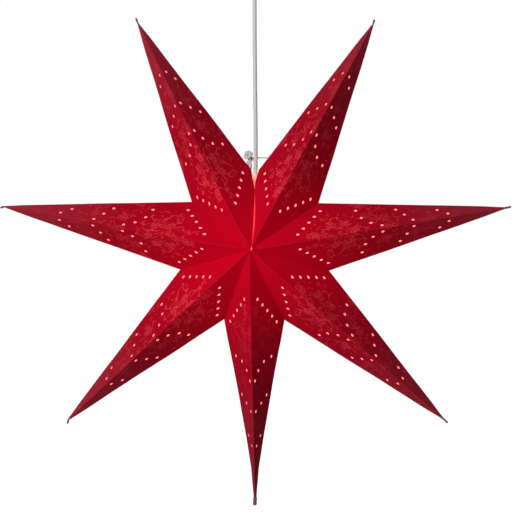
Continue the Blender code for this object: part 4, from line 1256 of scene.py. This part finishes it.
class PAPER_STAR_OT_ceiling(PaperStarOperator):
    """Make the ceiling cup, cord grip, strap and screws"""
    bl_idname = "paper_star.ceiling"
    bl_label = "Ceiling fitting"

    neck = 0.0065       # radius of the grip where it passes through the cup
    wall = 0.0018

    def build(self):
        bottom = -settings().hanging.cup_height
        self.cup(bottom)
        self.grip(bottom)
        self.strap()
        self.cup_screws()
        dress_node("terminal_block", gloss_white)

    def cup(self, bottom):
        """A moulded cup with a round bottom edge, bored for the grip and its two screws."""
        outer, corner, wall = settings().hanging.cup_radius, 0.016, self.wall
        inner, bore = corner - wall, self.neck + GAP
        arc = [math.pi / 2 * step / 10 for step in range(11)]
        profile = [(outer - wall, -0.0005), (outer, -0.0005), (outer, -0.004)]
        profile += [(outer - corner * (1 - math.cos(a)), bottom + corner * (1 - math.sin(a))) for a in arc]
        profile += [(bore, bottom), (bore, bottom + wall)]
        profile += [(outer - wall - inner * (1 - math.cos(a)), bottom + wall + inner * (1 - math.sin(a)))
                    for a in reversed(arc)]
        cutter = bmesh.new()
        rod_across(cutter, 0.1)
        shape = turned(profile, sides=96, rounding=0.0004)
        mesh = cut_mesh(mesh_of(shape, "cup_cover"), mesh_of(cutter, "screw_holes"))
        new_piece("cup_cover", mesh, "ceiling_fitting", ["ceiling_cup"], [eroded_white])

    def grip(self, bottom):
        """A flanged grip with a tapered neck and five shallow rings, such as let a real grip bend with the
        cord.
        """
        hanging, neck = settings().hanging, self.neck
        top, flange_top = bottom + self.wall + 0.006, bottom - GAP
        flange_low, low = flange_top - 0.0035, -hanging.pivot + GAP
        bore, taper_top = hanging.cord_radius + 0.0005, flange_low - 0.0006
        profile = [(bore, top), (neck - GAP, top), (neck - GAP, flange_top), (0.0095, flange_top),
                   (0.0095, flange_low + 0.0008), (0.0088, flange_low), (neck, taper_top)]
        for ring in range(5):
            for step, inset in ((0.05, 0), (0.09, 0.0007), (0.13, 0.0007), (0.17, 0)):
                share = ring / 5 + step
                radius = neck + (bore + 0.0015 - neck) * share
                profile.append((radius - inset, taper_top - (taper_top - low) * share))
        profile += [(bore + 0.0015, low), (bore + 0.0005, low), (bore, low + 0.004)]
        shape_piece("flex_grip", turned(profile, rounding=0.00015), "ceiling_fitting", "cord_grip",
                    gloss_white)

    def strap(self):
        """A pressed strap with two ears, slotted for the ceiling screws."""
        half, wall, ear, width = 0.039, 0.002, 0.014, 0.016
        slot_middle, slot_radius, slot_half = 0.025, 0.00225, 0.00375
        outline = [(-half, 0), (half, 0), (half, -ear), (half - wall, -ear), (half - wall, -wall),
                   (-half + wall, -wall), (-half + wall, -ear), (-half, -ear)]
        shape = bmesh.new()
        face = shape.faces.new([shape.verts.new((x, -width / 2, z)) for x, z in outline])
        grown = bmesh.ops.extrude_face_region(shape, geom=[face])["geom"]
        bmesh.ops.translate(shape, verts=[part for part in grown if isinstance(part, bmesh.types.BMVert)],
                            vec=(0, width, 0))
        bmesh.ops.recalc_face_normals(shape, faces=shape.faces)
        round_edges(shape, 0.0005)
        cutter = bmesh.new()
        for middle in (-slot_middle, slot_middle):
            made = bmesh.ops.create_cone(cutter, cap_ends=True, segments=24, radius1=slot_radius,
                                         radius2=slot_radius, depth=0.006,
                                         matrix=Matrix.Translation((middle, 0, -0.001)))
            for vert in made["verts"]:
                vert.co.x += math.copysign(slot_half, vert.co.x - middle)
        rod_across(cutter, 0.09)
        mesh = cut_mesh(mesh_of(shape, "ceiling_strap"), mesh_of(cutter, "slots"))
        new_piece("ceiling_strap", mesh, "ceiling_fitting", ["ceiling_bracket"], [zinc_sheet])

    def cup_screws(self):
        """Two cross-head screws that hold the cup to the strap's ears."""
        profile = [(0, 0.0018), (0.0012, 0.0017), (0.0022, 0.0012), (0.0029, 0.0003), (0.0029, 0),
                   (0.0014, 0), (0.0014, -0.006), (0.0006, -0.0075), (0, -0.0075)]
        for side, name in ((-1, "left"), (1, "right")):
            screw = mesh_of(turned(profile, sides=32, closed=False, rounding=0.0001), f"cup_screw_{name}")
            # One arm at a time, so that the cross has no faces inside it
            for turn in (0, math.pi / 2):
                cutter = bmesh.new()
                size = Matrix.Diagonal((0.0032, 0.0006, 0.002, 1))
                place = Matrix.Translation((0, 0, 0.0019)) @ Matrix.Rotation(turn, 4, "Z")
                bmesh.ops.create_cube(cutter, size=1, matrix=place @ size)
                screw = cut_mesh(screw, mesh_of(cutter, "cross"))
            place = (side * (settings().hanging.cup_radius + 0.0001), 0, CUP_SCREW_HEIGHT)
            screw.transform(Matrix.Translation(place) @ Matrix.Rotation(side * math.pi / 2, 4, "Y"))
            new_piece(f"cup_screw_{name}", screw, "ceiling_fitting", [], [zinc_sheet])


def threaded(radius, depth, pitch, low, high, sides=40):
    """A tube wall with a rolled thread: its radius rises and falls once to each pitch."""
    shape = bmesh.new()
    bmesh.ops.create_circle(shape, segments=sides, radius=radius, matrix=Matrix.Translation((0, 0, low)))
    edges = shape.edges[:]
    rows = max(4, round((high - low) / (pitch / 7)))
    for _ in range(rows):
        verts, edges = grow(shape, edges)
        bmesh.ops.translate(shape, verts=verts, vec=(0, 0, (high - low) / rows))
    for vert in shape.verts:
        turn = math.atan2(vert.co.y, vert.co.x) / (2 * math.pi)
        ends = min(1, (vert.co.z - low) / pitch, (high - vert.co.z) / pitch)
        wave = (math.cos(2 * math.pi * (vert.co.z / pitch - turn)) - 1) / 2 * depth * max(0, ends)
        scale = (radius + wave) / radius
        vert.co.x *= scale
        vert.co.y *= scale
    return shape


class PAPER_STAR_OT_lampholder(PaperStarOperator):
    """Build the lampholder on the cord's end"""
    bl_idname = "paper_star.lampholder"
    bl_label = "Lampholder"

    def build(self):
        lamp = settings().lamp
        top, outer, wall, nipple = lamp.holder_top, lamp.holder_radius, 0.0018, 0.0055
        bore = settings().hanging.cord_radius + 0.0005
        shoulder, cap_low = top - 0.007, top - 0.018
        cap = [
            (bore, top), (nipple - 0.0006, top), (nipple, top - 0.0008), (nipple, shoulder + 0.0008),
            (nipple + 0.0006, shoulder), (outer - 2 * wall, shoulder - wall),
            (outer - wall / 2, shoulder - 2 * wall), (outer, shoulder - 3 * wall), (outer, cap_low + 0.0022),
            (outer - 0.0003, cap_low + 0.0018), (outer, cap_low + 0.0014), (outer, cap_low),
            (outer - wall, cap_low), (outer - wall, shoulder - 3 * wall),
            (outer - 3 * wall, shoulder - 2 * wall), (bore, shoulder - wall),
        ]
        body_top, body_low = cap_low - GAP, cap_low - GAP - 0.036
        rib, rib_height = 0.0157, 0.004
        body = [(outer - wall, body_top), (outer, body_top)]
        for groove in range(4):
            height = body_top - 0.004 - groove * 0.0035
            body += [(outer, height + 0.0006), (outer - 0.0005, height), (outer, height - 0.0006)]
        body += [(outer, body_low + 2 * rib_height), (rib, body_low + 1.5 * rib_height),
                 (rib, body_low + rib_height / 2), (outer, body_low), (outer - wall, body_low)]
        for part, profile in (("cap", cap), ("body", body)):
            shape = turned(profile, rounding=0.0002, centre=STAR_CENTRE)
            shape_piece(f"holder_{part}_shell", shape, "star", f"holder_{part}", gloss_white)
        dress_node("holder_insert", glazed_steatite)
        dress_node("holder_contact", nickel_brass)
        insert_low = top - INSERT_DROP
        shape = threaded(0.0080, 0.0005, lamp.thread_pitch, insert_low + GAP,
                         insert_low + TIP_RISE - TIP_HEIGHT - GAP)
        bmesh.ops.recalc_face_normals(shape, faces=shape.faces)
        bmesh.ops.solidify(shape, geom=shape.faces[:], thickness=0.0003)
        bmesh.ops.translate(shape, verts=shape.verts, vec=STAR_CENTRE)
        shape_piece("threaded_shell", shape, "star", "holder_screw_shell", nickel_brass)


class PAPER_STAR_OT_lamp(PaperStarOperator):
    """Build the screw lamp: tip, threaded cap, housing, board and opal globe"""
    bl_idname = "paper_star.lamp"
    bl_label = "Lamp"

    def build(self):
        lamp = settings().lamp
        tip_top = lamp.holder_top - INSERT_DROP + TIP_RISE
        cap_top = tip_top - TIP_HEIGHT - GAP
        cap_low = cap_top - 0.0215
        tip = [(0, tip_top), (0.0012, tip_top - 0.0001), (0.0019, tip_top - 0.0005),
               (0.0022, tip_top - TIP_HEIGHT), (0, tip_top - TIP_HEIGHT)]
        self.turned_piece("solder_tip", tip, "lamp_tip", "lamp_tip", "plated_brass", tinned_solder, 0, 32)
        shape = threaded(0.0069, 0.0006, lamp.thread_pitch, cap_low, cap_top - 0.003)
        edges = [edge for edge in shape.edges if edge.is_boundary and edge.verts[0].co.z > cap_top - 0.004]
        for radius, rise in ((0.0055, 0.0012), (0.0035, 0.0018)):
            verts, edges = grow(shape, edges)
            for vert in verts:
                vert.co.xy = vert.co.xy.normalized() * radius
                vert.co.z += rise
        bmesh.ops.holes_fill(shape, edges=shape.edges[:])
        bmesh.ops.translate(shape, verts=shape.verts, vec=STAR_CENTRE)
        shape_piece("threaded_cap", shape, "lamp", "lamp_cap", nickel_brass)
        top, tall, neck, wide = cap_low - GAP, 0.019, 0.0090, 0.0190
        housing = [(0, top), (neck - GAP, top), (neck, top - 0.0012), (neck * 1.06, top - tall / 5)]
        for share in (step / 8 for step in range(9)):
            housing.append((neck * 1.1 + (wide - 0.0004 - neck * 1.1) * math.sin(share * math.pi / 2),
                            top - tall / 5 - tall * 0.72 * share))
        housing += [(wide, top - tall), (0, top - tall)]
        self.turned_piece("lamp_housing_shell", housing, "lamp", "lamp_housing", "white_plastic", gloss_white,
                          0.0002)
        dress_node("lamp_board", white_board)
        self.globe(top - tall - GAP)

    def globe(self, mouth_height):
        """An opal shell with a plain rim, open at the housing."""
        outer, wall, mouth, rings = settings().lamp.globe_radius, 0.0012, 0.0175, 28
        centre = mouth_height - math.sqrt(outer ** 2 - mouth ** 2)
        lines = []
        for radius, rim in ((outer - wall, mouth - wall), (outer, mouth)):
            start = math.asin(rim / radius)
            turns = [start + (math.pi - start) * step / rings for step in range(rings)]
            lines.append([(radius * math.sin(turn), centre + radius * math.cos(turn)) for turn in turns]
                         + [(0, centre - radius)])
        profile = [*reversed(lines[0]), *lines[1]]
        self.turned_piece("opal_shell", profile, "lamp", "lamp_globe", "opal_plastic", opal_globe, 0)

    def turned_piece(self, name, profile, body, node, slot, build, rounding, sides=64):
        shape = turned(profile, sides, closed=False, rounding=rounding, centre=STAR_CENTRE)
        shape_piece(name, shape, body, node, build)


class PAPER_STAR_OT_stage(PaperStarOperator):
    """Set up the white studio: floor, surroundings and soft light"""
    bl_idname = "paper_star.stage"
    bl_label = "Stage"

    def build(self):
        studio = settings().studio
        bpy.context.scene.view_settings.view_transform = "Standard"
        shape = bmesh.new()
        bmesh.ops.create_grid(shape, x_segments=1, y_segments=1, size=FLOOR_REACH)
        bmesh.ops.translate(shape, verts=shape.verts, vec=(0, 0, -studio.floor_drop))
        floor = in_scene("floor", mesh_of(shape, "floor"))
        floor.data.materials.append(finish(studio_floor))
        self.surroundings(studio.world_strength)
        data = bpy.data.lights.new("Key", "AREA")
        data.shape = "DISK"
        data.size = KEY_WIDTH
        data.energy = studio.key_energy
        light = in_scene("Key", data)
        light.location = KEY_PLACE
        light.rotation_mode = "QUATERNION"
        light.rotation_quaternion = (STAR_CENTRE - Vector(KEY_PLACE)).to_track_quat("-Z", "Y")

    def surroundings(self, strength):
        """White to the camera, to gloss and through glass, and a plain light on the object."""
        world = bpy.data.worlds.new("White room")
        bpy.context.scene.world = world
        world.use_nodes = True
        tree = world.node_tree
        tree.nodes.clear()
        rays = add(tree, "LightPath").node.outputs
        seen = add(tree, "Math", (rays["Is Camera Ray"], rays["Is Glossy Ray"]), operation="MAXIMUM")
        seen = add(tree, "Math", (seen, rays["Is Transmission Ray"]), operation="MAXIMUM")
        level = add(tree, "MapRange", (seen, 0.0, 1.0, strength, 1.0))
        sky = add(tree, "Background", {"Color": (1, 1, 1), "Strength": level})
        feed(tree, tree.nodes.new("ShaderNodeOutputWorld").inputs["Surface"], sky)


STEPS = (
    PAPER_STAR_OT_camera, PAPER_STAR_OT_cord, PAPER_STAR_OT_points, PAPER_STAR_OT_tabs, PAPER_STAR_OT_ties,
    PAPER_STAR_OT_ceiling, PAPER_STAR_OT_lampholder, PAPER_STAR_OT_lamp, PAPER_STAR_OT_stage,
)


class StarSettings(bpy.types.PropertyGroup):
    paper: PointerProperty(type=PaperSettings, name="Paper", description="The folded card")
    ties: PointerProperty(type=TieSettings, name="Ties", description="String and thread")
    hanging: PointerProperty(type=HangingSettings, name="Hanging", description="Cord and ceiling fitting")
    lamp: PointerProperty(type=LampSettings, name="Lamp", description="Lampholder and lamp")
    studio: PointerProperty(type=StudioSettings, name="Studio", description="Camera, floor and lights")


class PAPER_STAR_PT_sidebar(bpy.types.Panel):
    """Settings and steps of the lantern"""
    bl_idname = "PAPER_STAR_PT_sidebar"
    bl_label = "Paper star"
    bl_space_type = "VIEW_3D"
    bl_region_type = "UI"
    bl_category = "Paper star"

    def draw(self, context):
        star = context.scene.paper_star
        for group in (star.paper, star.ties, star.hanging, star.lamp, star.studio):
            column = self.layout.box().column()
            for name in group.__annotations__:
                column.prop(group, name)
        for step in STEPS:
            self.layout.operator(step.bl_idname)


CLASSES = (PaperSettings, TieSettings, HangingSettings, LampSettings, StudioSettings, StarSettings,
           *STEPS, PAPER_STAR_PT_sidebar)


def register():
    for one in CLASSES:
        bpy.utils.register_class(one)
    bpy.types.Scene.paper_star = PointerProperty(type=StarSettings)


def unregister():
    del bpy.types.Scene.paper_star
    for one in reversed(CLASSES):
        bpy.utils.unregister_class(one)


def main():
    register()
    bpy.ops.paper_star.camera()
    bpy.ops.paper_star.cord()
    bpy.ops.paper_star.points()
    bpy.ops.paper_star.tabs()
    bpy.ops.paper_star.ties()
    bpy.ops.paper_star.ceiling()
    bpy.ops.paper_star.lampholder()
    bpy.ops.paper_star.lamp()
    bpy.ops.paper_star.stage()


if __name__ == "__main__":
    main()
